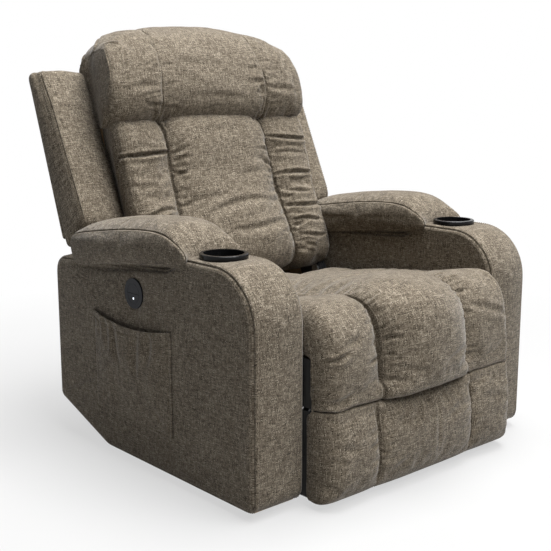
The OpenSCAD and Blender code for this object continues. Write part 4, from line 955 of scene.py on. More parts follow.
class RECLINER_OT_side_pocket(bpy.types.Operator):
    """Cloth pocket on the outer face of the right arm, with a hem that sags and a little slack under it"""

    bl_idname = "recliner.side_pocket"
    bl_label = "Side pocket"

    def execute(self, context):
        sizes = context.scene.recliner_sizes
        u, v = np.meshgrid(np.linspace(0, 1, 90), np.linspace(0, 1, 76), indexing="ij")
        d = POCKET_FRONT + (POCKET_BACK - POCKET_FRONT) * u
        high = POCKET_HIGH - POCKET_SAG * (1 - (2 * u - 1) ** 2)
        h = POCKET_LOW + (high - POCKET_LOW) * v
        edge = np.minimum(np.minimum(u, 1 - u) * (POCKET_BACK - POCKET_FRONT), v * (POCKET_HIGH - POCKET_LOW))
        free = ease(edge / 40)
        bulge = 5.6 + 9.0 * free * ease(v * 1.25) * np.sin(math.pi * u) ** 0.6
        lines = [
            (372, 312, 388, 200, 4.2, 12, 5),
            (330, 318, 342, 236, 3.4, 10, -4),
            (470, 312, 448, 216, 3.8, 12, 5),
            (510, 322, 494, 240, 3.2, 9, -4),
            (540, 322, 530, 262, 2.4, 7, -3),
            (290, 110, 330, 140, 1.3, 6, 2),
            (545, 112, 500, 142, 1.3, 6, -2),
        ]
        bulge += free * (creases(d, h, lines) + ripple(d, h, sizes.seed + 5, ((110, 1.2), (55, 0.6))))
        over_hem = h - high + POCKET_HEM
        hem = ease(over_hem / 2.5)
        bulge += 0.9 * hem - 1.3 * np.exp(-((over_hem / 1.6) ** 2))
        bulge -= 1.9 * np.exp(-((edge - 7) / 2.2) ** 2) * (1 - hem)
        face = SEAT_HALF + ARM_W
        outer = np.stack([-(face + bulge + 2.6 + 0.6 * np.minimum(1, edge / 3)), d, h], -1)
        inner = np.stack([-(face + bulge), d, h], -1)
        m, n = u.shape
        flat = np.stack([d, h], -1).reshape(-1, 2) / 1000
        faces = slab_faces(m, n)
        verts = place(np.vstack([outer.reshape(-1, 3), inner.reshape(-1, 3)]))
        obj = put("side_pocket_cloth", verts, [faces], [np.vstack([flat, flat])[faces]], named("tweed"))
        across, up = np.arange(m) * n, np.arange(n)
        at_hem = int(np.argmin(abs(np.linspace(0, 1, n) * 230 - 212)))
        rows = [across + at_hem, 2 * n + up, (m - 3) * n + up, across + 3]
        stitches("side_pocket_stitches", obj, rows, sizes, "base")
        smooth_skin(obj)
        dressed(obj, "base", ["side_pocket"])
        return {"FINISHED"}


def panels(edges, counts, share=0.6):
    """Stations across sewn panels, closer together at the edges: t less share times sin(2 pi t) / 2 pi on each."""
    xs, ts, panel = [], [], []
    for k, (lo, hi, count) in enumerate(zip(edges[:-1], edges[1:], counts)):
        u = np.arange(count) / count
        t = u - share * np.sin(2 * math.pi * u) / (2 * math.pi)
        xs.append(lo + (hi - lo) * t)
        ts.append(t)
        panel.append(np.full(count, k))
    return (
        np.concatenate([*xs, [edges[-1]]]),
        np.concatenate([*ts, [1.0]]),
        np.concatenate([*panel, [len(counts) - 1]]),
    )


def end_inset(x, half, radii):
    """Draw-in of a section near a rounded end of radius r: r less the root of r squared less the square of the run
    into it."""
    r = np.where(np.asarray(x) < 0, *np.broadcast_to(radii, 2))
    run = np.clip((np.abs(x) - half + r) / r, 0, 1)
    return r * (1 - np.sqrt(np.clip(1 - run**2, 0, 1)))


def rounded(xs, t, panel, half, seam, radii, steps=10):
    """Stations with both ends laid out by equal turns of a quarter circle, each end with its radius."""
    turn = np.sin(np.linspace(0, math.pi / 2, steps))
    low, high = (half - r + r * turn for r in radii)
    keep = (xs > -half + radii[0] + 2) & (xs < half - radii[1] - 2)
    return (
        np.concatenate([-low[::-1], xs[keep], high]),
        np.concatenate([1 - (low[::-1] - seam) / (half - seam), t[keep], (high - seam) / (half - seam)]),
        np.concatenate([np.zeros(steps, int), panel[keep], np.full(steps, 2)]),
    )


def facing(line):
    """Outward normals of a closed line that runs either way round."""
    return outward(line[::-1])[::-1] if signed_area(line) < 0 else outward(line)


def drawn_in(line, depth, level, stop):
    """Draw-in of a profile by a depth per station and point: along the inward normal, or straight back where level
    is 1, and there no further than d = stop."""
    inward = -facing(line) * (1 - level)[:, None] + np.array([1.0, 0.0]) * level[:, None]
    moved = depth[..., None] * inward[None]
    room = np.where(level > 0.5, np.maximum(0, stop - line[:, 0]), 1e3)
    moved[..., 0] = np.minimum(moved[..., 0], room[None])
    return moved


def sewn_loft(name, xs, base, move, to_place, shift=None):
    """Skin of a cushion with sewn lines: each section is the base profile moved by move(x, s) along its normals, and
    each end closes in rings that shrink to the line midway between its two sides.

    base is a closed profile per station, (stations, points, 2). Returns the object, x and s per point and the counts.
    """
    m, n = base.shape[:2]
    normal = np.stack([facing(b) for b in base])
    sec = base + normal * move[..., None]
    draw = np.array([0.5, 2.0, 2.0, 2.0, 2.0, 2.0])
    share = np.array([0, 0, 0.08, 0.22, 0.46, 0.76])
    out = 0.6 + 0.4 * (draw > 1) + 1.5 * share * (2 - share)
    low, high = (
        edge + (edge[:, ::-1] - edge) / 2 * share[:, None, None]
        for edge in (sec[k] - normal[k] * draw[:, None, None] for k in (0, -1))
    )
    full = np.concatenate([low[::-1], sec, high])
    all_x = np.concatenate([xs[0] - out[::-1], xs, xs[-1] + out])
    grid = np.concatenate([np.broadcast_to(all_x[:, None, None], (*full.shape[:2], 1)), full], -1)
    if shift is not None:
        grid = shift(grid)
    run = np.concatenate([np.zeros((1, n)), np.cumsum(np.linalg.norm(np.diff(grid, axis=0), axis=2), 0)])
    s = along(base[m // 2], True)
    uv = np.stack(np.broadcast_arrays(wrapped(run - run[len(all_x) // 2]), s[None]), -1) / 1000
    flat_rows = np.zeros(len(all_x) - 1, bool)
    flat_rows[: len(draw)] = flat_rows[-len(draw) :] = True
    obj = loft(name, to_place(grid), uv, wrapped(full) / 1000, flat_rows)
    return obj, np.repeat(all_x, n), np.tile(s[:-1], len(all_x)), len(all_x), n


def side_full(t, panel, flat, round_side):
    """Fullness across three panels: a stuffed middle, and sides that swell from their sewn line to the open edge."""
    full = swelling(t, flat)
    full = np.where(panel == 0, np.sqrt(np.clip(1 - np.clip(2 * t - 1, 0, 1) ** round_side, 0, 1)), full)
    return np.where(panel == 2, np.sqrt(np.clip(1 - np.clip(1 - 2 * t, 0, 1) ** round_side, 0, 1)), full)


def signed_area(p):
    """Area of a closed line, positive when it runs counter-clockwise."""
    q = np.roll(p, -1, 0)
    return 0.5 * float(np.sum(p[:, 0] * q[:, 1] - q[:, 0] * p[:, 1]))


def profiles(shown_knots, spacing, *lines_of_knots):
    """Closed profiles through knots with the steps of the first, and how far their points show: 1, and 0 from a
    knot on."""
    counts = steps_for(lines_of_knots[0], spacing)
    flags = [(1 if k < shown_knots else 0, 0) for k in range(len(counts))]
    return *(spline(knots, counts) for knots in lines_of_knots), spline(flags, counts)[:, 0].clip(0, 1)


def between(side, centre, panel, full):
    """Profile per station: the side profile, and in the middle panel as far towards the centre's as it is full."""
    share = np.where(panel != 1, 0.0, np.clip(full, 0, 1))
    return side[None] + (centre - side)[None] * share[:, None, None]


def runner(profile):
    """Gives a function of a place in the profile's plane: the distance along the profile to its nearest point."""
    run = along(profile, True)[:-1]
    return lambda p, q: float(run[np.argmin(np.hypot(profile[:, 0] - p, profile[:, 1] - q))])


def near_seam(x, seam, width):
    """1 on both sewn lines, falling off beside them: e to minus the square of the distance over a width."""
    return np.exp(-((np.minimum(abs(x - seam), abs(x + seam)) / width) ** 2))


def stuffed(obj, x, seam, shown, kept, slack, reach, hold=1.0):
    """Fills a cushion by simulation, held on its sewn lines by hold, where it doesn't show and where kept is 1."""
    hidden = ease((1 - np.tile(shown, len(x) // len(shown))) * 1.5)
    swell(obj, np.maximum.reduce([near_seam(x, seam, 5.0) * hold, hidden, kept]), 3.0, slack, reach)


def creased(obj, x, s, tops, seam, width, groove, lines, seed, waves):
    """Makes a cushion finer and dents it: folds and slow waves where it shows, less a groove on its sewn lines.

    tops is how far a point shows, groove the depth in millimetres at each point of the coarse skin.
    """
    x, s, tops, groove = refined(obj, x, s, tops, groove)
    uneven = ripple(x, s, seed, waves)
    dent(obj, tops * (creases(x, s, lines) + uneven - groove * near_seam(x, seam, width)))


def seam_rows(x, n, seam, span):
    """Points along both sewn lines: the same stretch of points two stations to each side of them."""
    at = [int(np.argmin(np.abs(x[::n] - line))) + k for line in (-seam, seam) for k in (-2, 2)]
    return [k * n + span for k in at]


class RECLINER_OT_seat_cushion(bpy.types.Operator):
    """Seat cushion: a centre panel that flows over the front between two round side rolls"""

    bl_idname = "recliner.seat_cushion"
    bl_label = "Seat cushion"

    def execute(self, context):
        sizes = context.scene.recliner_sizes
        centre = [
            (530, 342), (400, 365), (290, 385), (173, 404), (110, 415), (50, 424), (0, 422), (-40, 411),
            (-68, 392), (-85, 366), (-94, 332), (-98, 290), (-100, 246), (-101, 216), (-95, 202), (-82, 196),
            (-56, 196), (-26, 204), (-13, 224), (-12.8, 301), (120, 288), (330, 266), (520, 247), (534, 296),
        ]
        roll = [
            (530, 330), (400, 351), (290, 365), (173, 378), (110, 390), (50, 403), (8, 402), (-16, 390),
            (-36, 368), (-49, 340), (-56, 308), (-60, 276), (-61.5, 246), (-62, 218), (-62, 201.5), (-58.5, 196.2),
            (-42, 195.8), (-26, 204), (-13, 224), (-12.8, 301), (120, 288), (330, 266), (520, 247), (534, 296),
        ]
        mid, rol, shown = profiles(17, 7.0, centre, roll)
        half, seam, end = 301.0, 138.0, (38.0, 18.0)
        xs, t, panel = rounded(*panels([-half, -seam, seam, half], (26, 42, 26)), half, seam, end)
        full = side_full(t, panel, 2.0, 2.4) * sizes.panel_puff
        base = between(rol, mid, panel, full)
        front = shown * ease((60 - rol[:, 0]) / 90)
        low = ease((rol[:, 1] - 196) / 26)
        level = ease((240 - rol[:, 1]) / 24) * (rol[:, 0] < -20)
        weight = shown * np.interp(rol[:, 0], [60, 260], [1.0, 0.3])
        base = base + drawn_in(rol, end_inset(xs, half, end)[:, None] * weight[None], level, -20.0)
        puff = -(13.0 + 9.0 * front * low)[None] * (1 - full[:, None]) * (shown * (1 - level))[None]

        def narrowed(grid):
            """Draws the rear in between the links: x shrinks by up to 5 percent from d = 310 to d = 390 mm."""
            out = grid.copy()
            out[..., 0] *= 1 - 0.05 * ease((grid[..., 1] - 310) / 80)
            return out

        obj, x, s, rows, n = sewn_loft("seat_upholstery", xs, base, puff, place, narrowed)
        kept = np.maximum(ease((np.abs(x) - half + 14) / 12), np.tile(level, rows))
        stuffed(obj, x, seam, shown, kept, sizes.cover_slack, 6)
        at = runner(mid)
        top, low = at(0, 420), at(-95, 202)
        folds = (
            (-seam + 3, top, low, 15, 1, 44, 3.4),
            (seam - 3, top, low, 12, -1, 40, 2.6),
            (-seam - 3, top - 60, low, 10, -1, 40, 2.6),
            (seam + 3, top - 60, low, 13, 1, 44, 3.4),
        )
        lines = gathers(np.random.default_rng(sizes.seed + 31), folds) + [
            (-296, at(-95, 325), -236, at(-94, 336), 8.0, 5, 5),
            (-250, at(-90, 350), -196, at(-86, 364), 3.0, 8, 4),
            (-296, at(-101, 216), -226, at(-101, 226), 6.0, 8, 6),
            (170, at(-84, 374), 290, at(-95, 335), 3.6, 8, -6),
            (-120, at(173, 403), 60, at(120, 412), 2.4, 13, 8),
            (-60, at(300, 384), 130, at(250, 391), 2.4, 15, -8),
            (-110, at(-100, 270), -30, at(-102, 246), 3.0, 8, 4),
            (20, at(-102, 250), 112, at(-100, 272), 2.6, 8, -4),
        ]
        groove = np.full(len(x), sizes.seam_depth * 1000)
        waves = ((210, 2.2), (95, 1.1), (40, 0.4))
        creased(obj, x, s, np.tile(shown, rows), seam, 3.0, groove, lines, sizes.seed + 8, waves)
        span = np.nonzero(shown > 0.9)[0]
        stitches("seat_stitches", obj, seam_rows(x, n, seam, span), sizes, "seat")
        dressed(obj, "seat", ["seat_cushion", "seat_nose"])
        return {"FINISHED"}


class RECLINER_OT_leg_rest(bpy.types.Operator):
    """Leg rest pad: a centre panel and two side rolls that carry on the seat's front down to a rounded foot"""

    bl_idname = "recliner.leg_rest"
    bl_label = "Leg rest pad"

    def execute(self, context):
        sizes = context.scene.recliner_sizes
        rear = [(-10, -1), (-3.4, 8), (-3.2, 60), (-3.2, 130), (-3.4, 178), (-10, 188)]
        centre = [
            (-22, 191), (-40, 192.5), (-53, 191.5), (-65, 185), (-74, 171), (-80, 148), (-83, 112), (-82, 70),
            (-78.5, 38), (-71, 15), (-58, 1), (-42, -4), (-26, -4), *rear,
        ]
        roll = [
            (-22, 191), (-40, 194), (-58, 193.8), (-62.5, 189), (-64, 174), (-68, 150), (-73, 110), (-75, 70),
            (-73.5, 38), (-67, 15), (-55, 1), (-40, -4), (-26, -4), *rear,
        ]
        mid, rol, shown = profiles(13, 6.0, centre, roll)
        half, seam, end = 301.0, 154.0, (38.0, 18.0)
        xs, t, panel = rounded(*panels([-half, -seam, seam, half], (24, 42, 24)), half, seam, end)
        full = side_full(t, panel, 3.6, 2.4) * sizes.panel_puff
        base = between(rol, mid, panel, full)
        high = ease((182 - rol[:, 1]) / 20)
        level = np.maximum(ease((rol[:, 1] - 160) / 20), 0.75 * ease((30 - rol[:, 1]) / 20)) * (rol[:, 0] < -20)
        weight = shown * (0.3 + 0.7 * ease((rol[:, 1] - 2) / 40))
        base = base + drawn_in(rol, end_inset(xs, half, end)[:, None] * weight[None], level, -20.0)
        foot = ease((rol[:, 1] - 6) / 30)
        puff = -(8.0 * shown * (0.3 + 0.7 * high) * (0.25 + 0.75 * foot))[None] * (1 - full[:, None])
        obj, x, s, rows, n = sewn_loft("leg_rest_upholstery", xs, base, puff, place)
        still = np.maximum(ease((rol[:, 1] - 168) / 16), ease((24 - rol[:, 1]) / 20)) * shown
        kept = np.maximum(ease((np.abs(x) - half + 14) / 12), np.tile(still, rows))
        stuffed(obj, x, seam, shown, kept, sizes.cover_slack, 5)
        at = runner(mid)
        top, low = at(-65, 185), at(-71, 15)
        beside = ((-seam + 3, 1, 36), (seam - 3, -1, 36), (-seam - 3, -1, 34), (seam + 3, 1, 34))
        folds = [(u, top, low, 7, side, length, 2.0) for u, side, length in beside]
        lines = gathers(np.random.default_rng(sizes.seed + 41), folds) + [
            (22, at(-77, 174), 30, at(-74, 22), 2.6, 5, 6),
            (-120, at(-81, 150), -30, at(-81, 140), 2.4, 10, 5),
            (50, at(-81, 120), 140, at(-81, 134), 2.4, 10, -5),
            (-292, at(-81, 128), -206, at(-81, 112), 3.0, 8, 5),
            (190, at(-81, 130), 286, at(-81, 110), 3.0, 9, -5),
            (-130, at(-81, 40), -60, at(-81, 60), 2.0, 9, 4),
        ]
        tops = np.tile(shown * (0.15 + 0.85 * foot), rows)
        groove = np.full(len(x), sizes.seam_depth * 1000)
        waves = ((170, 1.8), (80, 0.9), (40, 0.4))
        creased(obj, x, s, tops, seam, 3.0, groove, lines, sizes.seed + 9, waves)
        span = np.nonzero(shown > 0.9)[0]
        stitches("leg_rest_stitches", obj, seam_rows(x, n, seam, span), sizes, "leg_rest")
        dressed(obj, "leg_rest", ["leg_rest_pad"])
        return {"FINISHED"}


class RECLINER_OT_shade_flaps(bpy.types.Operator):
    """Black flaps that close the gaps between the arms and the sides of the seat and the leg rest: painted shade where
    those gaps lie in deep shade, and a cover for the frame behind them
    """

    bl_idname = "recliner.linings"
    bl_label = "Shade flaps"

    def execute(self, context):
        for body, low, high in (("seat", 197.0, 300.0), ("leg_rest", 4.0, 189.0)):
            d, h = np.meshgrid(np.linspace(-19, 31, 26), np.linspace(low, high, 40), indexing="ij")
            wave = 0.5 * np.sin(d / 7.0) * np.sin(h / 23.0)
            one = slab_faces(*d.shape)
            flap = np.vstack([np.stack([x + wave, d, h], -1).reshape(-1, 3) for x in (300.6, 297.6)])
            verts = np.vstack([flap, flap * [-1, 1, 1]])
            faces = np.vstack([one, one[:, ::-1] + len(flap)])
            uvs = verts[:, 1:][faces] / 1000
            # Painted shade: near-black cloth flaps stand in the gaps, whose darkness is shade
            obj = put(f"{body}_shade_flap", place(verts), [faces], [uvs], named("lining and shade flap cloth"))
            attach(obj, body)
        return {"FINISHED"}


def flared(grid):
    """Widens a back section towards its front: x grows by up to a twelfth as a passes the wings' faces, and by some
    more above the arms on the left."""
    out = grid.copy()
    more = 0.03 * (grid[..., 0] > 0) * ease((grid[..., 2] - 70) / 90)
    out[..., 0] *= 1 + (0.083 + more) * ease((-grid[..., 1] - 58) / 70)
    return out


class RECLINER_OT_back_cushion(bpy.types.Operator):
    """Lower back cushion: a centre panel between two gathered side columns, tucked in under the headrest"""

    bl_idname = "recliner.back_cushion"
    bl_label = "Back cushion"

    def execute(self, context):
        sizes = context.scene.recliner_sizes
        centre = [
            (-58, 290), (-90, 300), (-126, 299), (-153, 285), (-168, 259), (-172, 225), (-170, 180), (-169, 130),
            (-172, 80), (-178, 30), (-184, -20), (-187, -66), (-180, -110), (-154, -138), (-108, -147),
            (-66, -140), (-54, -110), (-53.6, 0), (-53.6, 150),
        ]
        column = [
            (-58, 284), (-86, 293), (-120, 292), (-146, 277), (-160, 252), (-163, 221), (-160, 180), (-159, 130),
            (-161, 80), (-166, 30), (-171, -20), (-174, -66), (-168, -110), (-146, -138), (-106, -147),
            (-66, -140), (-54, -110), (-53.6, 0), (-53.6, 150),
        ]
        mid, col, shown = profiles(15, 6.5, centre, column)
        half, seam = 275.5, 148.0
        xs, t, panel = panels([-half, -seam, seam, half], (32, 46, 32))
        full = side_full(t, panel, 3.2, 2.2) * sizes.panel_puff
        base = between(col, mid, panel, full)
        puff = -22.0 * (1 - full[:, None]) * shown[None]
        inset = end_inset(xs, half, (22.0, 12.0))[:, None] * (shown * ease((-col[:, 0] - 96) / 46))[None]
        obj, x, s, rows, _ = sewn_loft("back_upholstery", xs, base, puff - inset, place_back, flared)
        b = np.tile(mid[:, 1], rows)
        splay = 0.12 * np.clip((200 - b) / 330, 0, 1)
        co = points_of(obj)
        co[:, 0] *= 1 + splay * (1 - ease((np.abs(x) - seam - 10) / (half - seam - 40)))
        move_to(obj, co)
        kept = ease((np.abs(x) - half + 12) / 10)
        stuffed(obj, x, seam, shown, kept, sizes.cover_slack * 1.2, 8)
        run = along(mid, True)[:-1]
        front = np.nonzero((mid[:, 0] < -140) & (shown > 0.9))[0]
        at = lambda bb: float(run[front[np.argmin(abs(mid[front, 1] - bb))]])
        low = at(-110)
        folds = (
            (-seam + 3, at(230), low, 15, 1, 46, 3.4),
            (seam - 3, at(230), low, 13, -1, 42, 3.0),
            (seam + 3, at(120), low, 16, 1, 56, 3.8),
            (-seam - 3, at(240), low, 14, -1, 40, 2.6),
        )
        lines = gathers(np.random.default_rng(sizes.seed + 51), folds) + [
            (-290, at(186), -144, at(192), 12.0, 4.6, 5),
            (-262, at(26), -160, at(44), 7.0, 4.6, -6),
            (-236, at(8), -168, at(36), 4.0, 4.0, 4),
            (-280, at(112), -200, at(106), 2.4, 8, 4),
            (142, at(228), 290, at(206), 10.0, 4.6, 6),
            (146, at(114), 290, at(104), 10.0, 4.6, -5),
            (152, at(24), 290, at(18), 9.5, 4.8, 5),
            (154, at(170), 256, at(160), 4.0, 5, -4),
            (160, at(66), 262, at(58), 6.5, 4.6, 4),
            (162, at(-22), 262, at(-34), 7.0, 4.6, -4),
            (164, at(-62), 262, at(-70), 6.0, 4.6, 4),
            (-90, at(20), 90, at(44), 5.0, 10, -10),
            (-40, at(-34), 128, at(-12), 5.0, 10, 8),
            (-120, at(70), -20, at(60), 2.8, 11, 6),
            (-60, at(226), 70, at(230), 3.0, 13, -6),
            (30, at(120), 130, at(132), 2.4, 11, 6),
        ]
        groove = np.full(len(x), sizes.seam_depth * 1000)
        waves = ((190, 2.6), (85, 1.3), (38, 0.5))
        creased(obj, x, s, np.tile(shown, rows), seam, 3.2, groove, lines, sizes.seed + 10, waves)
        dressed(obj, "back", ["back_cushion"])
        return {"FINISHED"}


class RECLINER_OT_headrest(bpy.types.Operator):
    """Headrest: a wide pillow with two shallow sewn lines and an arched top that overhangs the columns"""

    bl_idname = "recliner.headrest"
    bl_label = "Headrest"

    def execute(self, context):
        sizes = context.scene.recliner_sizes
        centre = [
            (-15.6, 496), (-17, 520), (-32, 536), (-58, 544), (-84, 546), (-116, 540), (-148, 522), (-174, 494),
            (-190, 458), (-197, 416), (-198, 370), (-194, 328), (-185, 296), (-171, 272), (-152, 260), (-130, 259),
            (-108, 266), (-84, 276), (-60, 284), (-36, 288), (-15.6, 292), (-15.6, 370), (-15.6, 440),
        ]
        mid, shown = profiles(18, 6.5, centre)
        half, seam, end = 282.0, 153.0, (44.0, 24.0)
        xs, t, panel = rounded(*panels([-half, -seam, seam, half], (32, 46, 32)), half, seam, end)
        full = side_full(t, panel, 3.4, 2.2) * sizes.panel_puff
        base = np.broadcast_to(mid, (len(xs), *mid.shape)).copy()
        front = ease((-mid[:, 0] - 90) / 60)
        pinch = front * ease((345 - mid[:, 1]) / 90)
        puff = -(1.0 + 16.0 * pinch)[None] * (1 - full[:, None]) * shown[None]
        crest = ease((mid[:, 1] - 470) / 60)
        drop = front * (0.25 + 0.6 * ease((400 - mid[:, 1]) / 110))
        inset = np.maximum(
            end_inset(xs, half, end)[:, None] * (shown * drop)[None],
            end_inset(xs, half, 42.0)[:, None] * (shown * crest)[None],
        )

        def arched(grid):
            """Lowers the top by 6 mm, and towards the corners by up to 40 mm times x over 275 mm to the power 2.4,
            draws the ends in towards the top, lifts the lower edge between the sewn lines by 13 mm, and widens the
            front."""
            out = flared(grid)
            x, a, b = np.moveaxis(grid, -1, 0)
            right = np.interp(b, [255, 330, 450, 546], [0.025, 0.015, -0.015, -0.06])
            left = np.interp(b, [255, 330, 380, 430, 490, 546], [0.025, 0.0, -0.03, -0.075, -0.125, -0.15])
            out[..., 0] *= 1 + np.where(x < 0, right, left) * ease((-a - 30) / 60)
            out[..., 2] -= 6 * ease((b - 470) / 70)
            out[..., 2] -= np.where(x < 0, 40, 36) * np.abs(x / 275) ** 2.4 * np.clip((b - 330) / 221, 0, 1)
            low = ease((340 - b) / 80) * ease((-a - 90) / 60)
            out[..., 2] += 13 * low * np.interp(x, xs, np.clip(full, 0, 1))
            return out

        obj, x, s, rows, n = sewn_loft("headrest_upholstery", xs, base, puff - inset, place_back, arched)
        kept = ease((np.abs(x) - half + 42) / 30)
        pins = np.tile(pinch, rows)
        stuffed(obj, x, seam, shown, kept, sizes.cover_slack, 5, 0.15 + 0.8 * pins)
        at = runner(mid)
        top, low = at(-197, 416), at(-171, 272)
        folds = (
            (-seam + 3, top, low, 7, 1, 44, 2.2),
            (seam - 3, top, low, 7, -1, 44, 2.2),
            (-seam - 3, top, low, 8, -1, 50, 2.6),
            (seam + 3, top, low, 8, 1, 50, 2.6),
        )
        lines = gathers(np.random.default_rng(sizes.seed + 61), folds) + [
            (-238, at(-84, 546), -281, at(-150, 520), 4.5, 2.6, 3),
            (-281, at(-160, 511), -240, at(-188, 466), 4.5, 2.6, -3),
            (240, at(-84, 546), 281, at(-150, 520), 4.0, 2.6, -3),
            (-110, at(-197, 416), 40, at(-197, 404), 2.4, 15, 8),
            (-256, at(-196, 340), -160, at(-197, 352), 3.2, 9, -5),
            (160, at(-197, 356), 258, at(-195, 336), 3.2, 9, 5),
            (-80, at(-190, 312), 90, at(-188, 306), 2.4, 12, -6),
            (-190, at(-186, 470), -100, at(-188, 464), 2.2, 13, 6),
        ]
        tops = np.tile(shown, rows) * (1 - ease(np.abs(x) - half))
        groove = sizes.seam_depth * (150 + 650 * pins)
        waves = ((220, 2.4), (100, 1.1), (40, 0.4))
        creased(obj, x, s, tops, seam, 3.0, groove, lines, sizes.seed + 11, waves)
        span = np.nonzero((shown > 0.9) & (mid[:, 0] < -150))[0]
        stitches("headrest_stitches", obj, seam_rows(x, n, seam, span), sizes, "back")
        dressed(obj, "back", ["headrest"])
        return {"FINISHED"}


class RECLINER_OT_wings(bpy.types.Operator):
    """Padded wings beside the back: a flat front face, a side face and a stitched seam between them"""

    bl_idname = "recliner.wings"
    bl_label = "Wings"

    def execute(self, context):
        sizes = context.scene.recliner_sizes
        groove = sizes.seam_depth * 1000
        v = np.concatenate([[0, 0.004, 0.012, 0.03], np.linspace(0.06, 0.94, 56), [0.965, 0.985, 0.996, 1.0]])
        b_ref = WING_LOW + (WING_TOP - WING_LOW) * v
        w = WING_EDGE - WING_IN
        for side, name in SIDES:
            front_out = np.interp(b_ref, [60, 345, 441], [-97, -70, -50])
            front_in = np.interp(b_ref, [60, 307, 441], [-76, -51, -33])
            turn = np.clip(np.abs(v - 0.5) * 2 - 0.94, 0, 0.06) / 0.06
            round_end = 11 * (1 - np.sqrt(np.clip(1 - turn**2, 0, 1)))
            knots_x = np.array([0, 0.12, 0.3, 0.5, 0.7, 0.86, 0.94, 0.985])
            rings = []
            for fo, fi, r in zip(front_out, front_in, round_end):
                puffed = 8.0 * np.sin(math.pi * knots_x) ** 0.7
                face = np.stack([WING_IN + w * knots_x, fi + (fo - fi) * knots_x - puffed], -1)
                side_at = lambda q: WING_EDGE + (WING_REAR - WING_EDGE) * q + 3.0 * math.sin(math.pi * q)
                corner = [
                    (WING_EDGE - 1.0, fo + 1.0 + groove * 0.8),
                    (WING_EDGE + 1.0, fo + 5.0),
                    (side_at(0.2), fo + 14.0),
                    (side_at(0.6), (fo - SHELL_T) / 2),
                    (side_at(0.95), -SHELL_T - 5),
                    (WING_REAR - 2.0, -SHELL_T - 0.6),
                ]
                inner = [(WING_IN + w * 0.5, -SHELL_T - 0.4), (WING_IN + 3, -SHELL_T - 0.4), (WING_IN, -SHELL_T - 8)]
                ring = np.vstack([face, corner, inner])
                centre = np.array([(WING_IN + WING_REAR) / 2, (fo + fi) / 4 - SHELL_T / 2])
                pull = np.clip(np.abs(ring - centre), 1e-6, None)
                rings.append(ring + np.sign(centre - ring) * np.minimum(r, pull * 0.9))
            rings = np.array(rings)
            counts = np.maximum(2, steps_for(rings[len(v) // 2], 6.0))
            sec = np.array([spline(q, counts) for q in rings])
            sec[..., 0] += 8 * v[:, None] * ease((sec[..., 0] - WING_EDGE + 20) / 30)
            foot = np.interp(-sec[..., 1], [0, 25, 60, 105], [-10, 3, 17, 46])
            b = foot + (WING_TOP - foot) * v[:, None]
            grid = np.stack([side * sec[..., 0], sec[..., 1], b], -1)
            s = along(sec[len(v) // 2], True)
            uv = np.stack(np.broadcast_arrays(s[None], b_ref[:, None]), -1) / 1000
            ends = np.zeros(len(v) - 1, bool)
            ends[:2] = ends[-2:] = True
            obj = loft(f"{name}_wing_upholstery", place_back(grid), uv, wrapped(sec) / 1000, ends)
            m, n = sec.shape[:2]
            corner_at = int(np.sum(counts[:8]))
            ss = np.tile(s[:-1], m)
            vv = np.repeat(v, n) * 400
            on_face = np.tile((np.arange(n) < corner_at - 2).astype(float), m)
            lines = [(20, 60, 90, 90, 1.6, 9, 5), (30, 200, 100, 220, 1.4, 10, -5), (25, 320, 95, 345, 1.5, 9, 5)]
            uneven = ripple(ss, vv, sizes.seed + 14 + side, ((150, 1.4), (70, 0.7)))
            dent(obj, on_face * (creases(ss, vv, lines) + uneven))
            rows = [np.arange(4, m - 4) * n + corner_at + k for k in (-2, 3)]
            stitches(f"{name}_wing_stitches", obj, rows, sizes, "back")
            smooth_skin(obj)
            dressed(obj, "back", [f"{name}_wing"])
        return {"FINISHED"}


class RECLINER_OT_back_shell(bpy.types.Operator):
    """Rear panel of the back: a thin padded sheet over the frame, crowned a little, with a stitched border"""

    bl_idname = "recliner.back_shell"
    bl_label = "Back shell"

    def execute(self, context):
        sizes = context.scene.recliner_sizes
        wide = WING_REAR - 1
        rising = [
            (SHELL_HALF, SHELL_LOW), (SHELL_HALF, 25), (wide, 25), (wide, WING_TOP - 26), (wide - 8, WING_TOP - 8),
            (wide - 26, WING_TOP), (SHELL_HALF, WING_TOP), (SHELL_HALF, SHELL_TOP - 60),
            (SHELL_HALF - 18, SHELL_TOP - 18), (SHELL_HALF - 60, SHELL_TOP),
        ]
        falling = [(-x, b) for x, b in reversed(rising)]
        knots = np.array(falling[-1:] + rising + falling[:-1], float)
        line = softened(evenly(knots, 6.0), 1)
        normal = outward(line)
        middle = np.array([0.0, 200.0])
        stack = [
            (-SHELL_T + 0.3, 8.0, 0.97), (-SHELL_T + 0.3, 8.0, 0.5), (-SHELL_T + 0.3, 8.0, 0), (-SHELL_T + 0.3, 2.0, 0),
            (-SHELL_T + 2.0, 0.4, 0), (-9.0, -0.4, 0), (-4.0, 0.0, 0), (-1.2, 1.2, 0), (0.4, 4.0, 0), (1.2, 8.0, 0),
            (1.6, 12.0, 0), (0.2, 15.0, 0), (1.9, 18.0, 0), (3.0, 26.0, 0), (4.6, 26.0, 0.1), (6.2, 26.0, 0.25),
            (7.4, 26.0, 0.45), (8.0, 26.0, 0.7), (8.2, 26.0, 0.97),
        ]
        a, inset, share = (column[:, None, None] for column in np.array(stack).T)
        edge = line - normal * inset
        edge = edge + (middle - edge) * share
        grid = np.concatenate([edge[..., :1], np.broadcast_to(a, (*edge.shape[:2], 1)), edge[..., 1:]], -1)
        uv = wrapped(edge) / 1000
        obj = loft("back_shell_upholstery", place_back(grid), uv, uv, np.ones(len(stack) - 1, bool))
        n, border = len(line), 12
        stitches("back_shell_stitches", obj, [border * n + np.arange(n + 1) % n], sizes, "back")
        dressed(obj, "back", ["back_shell"])
        return {"FINISHED"}


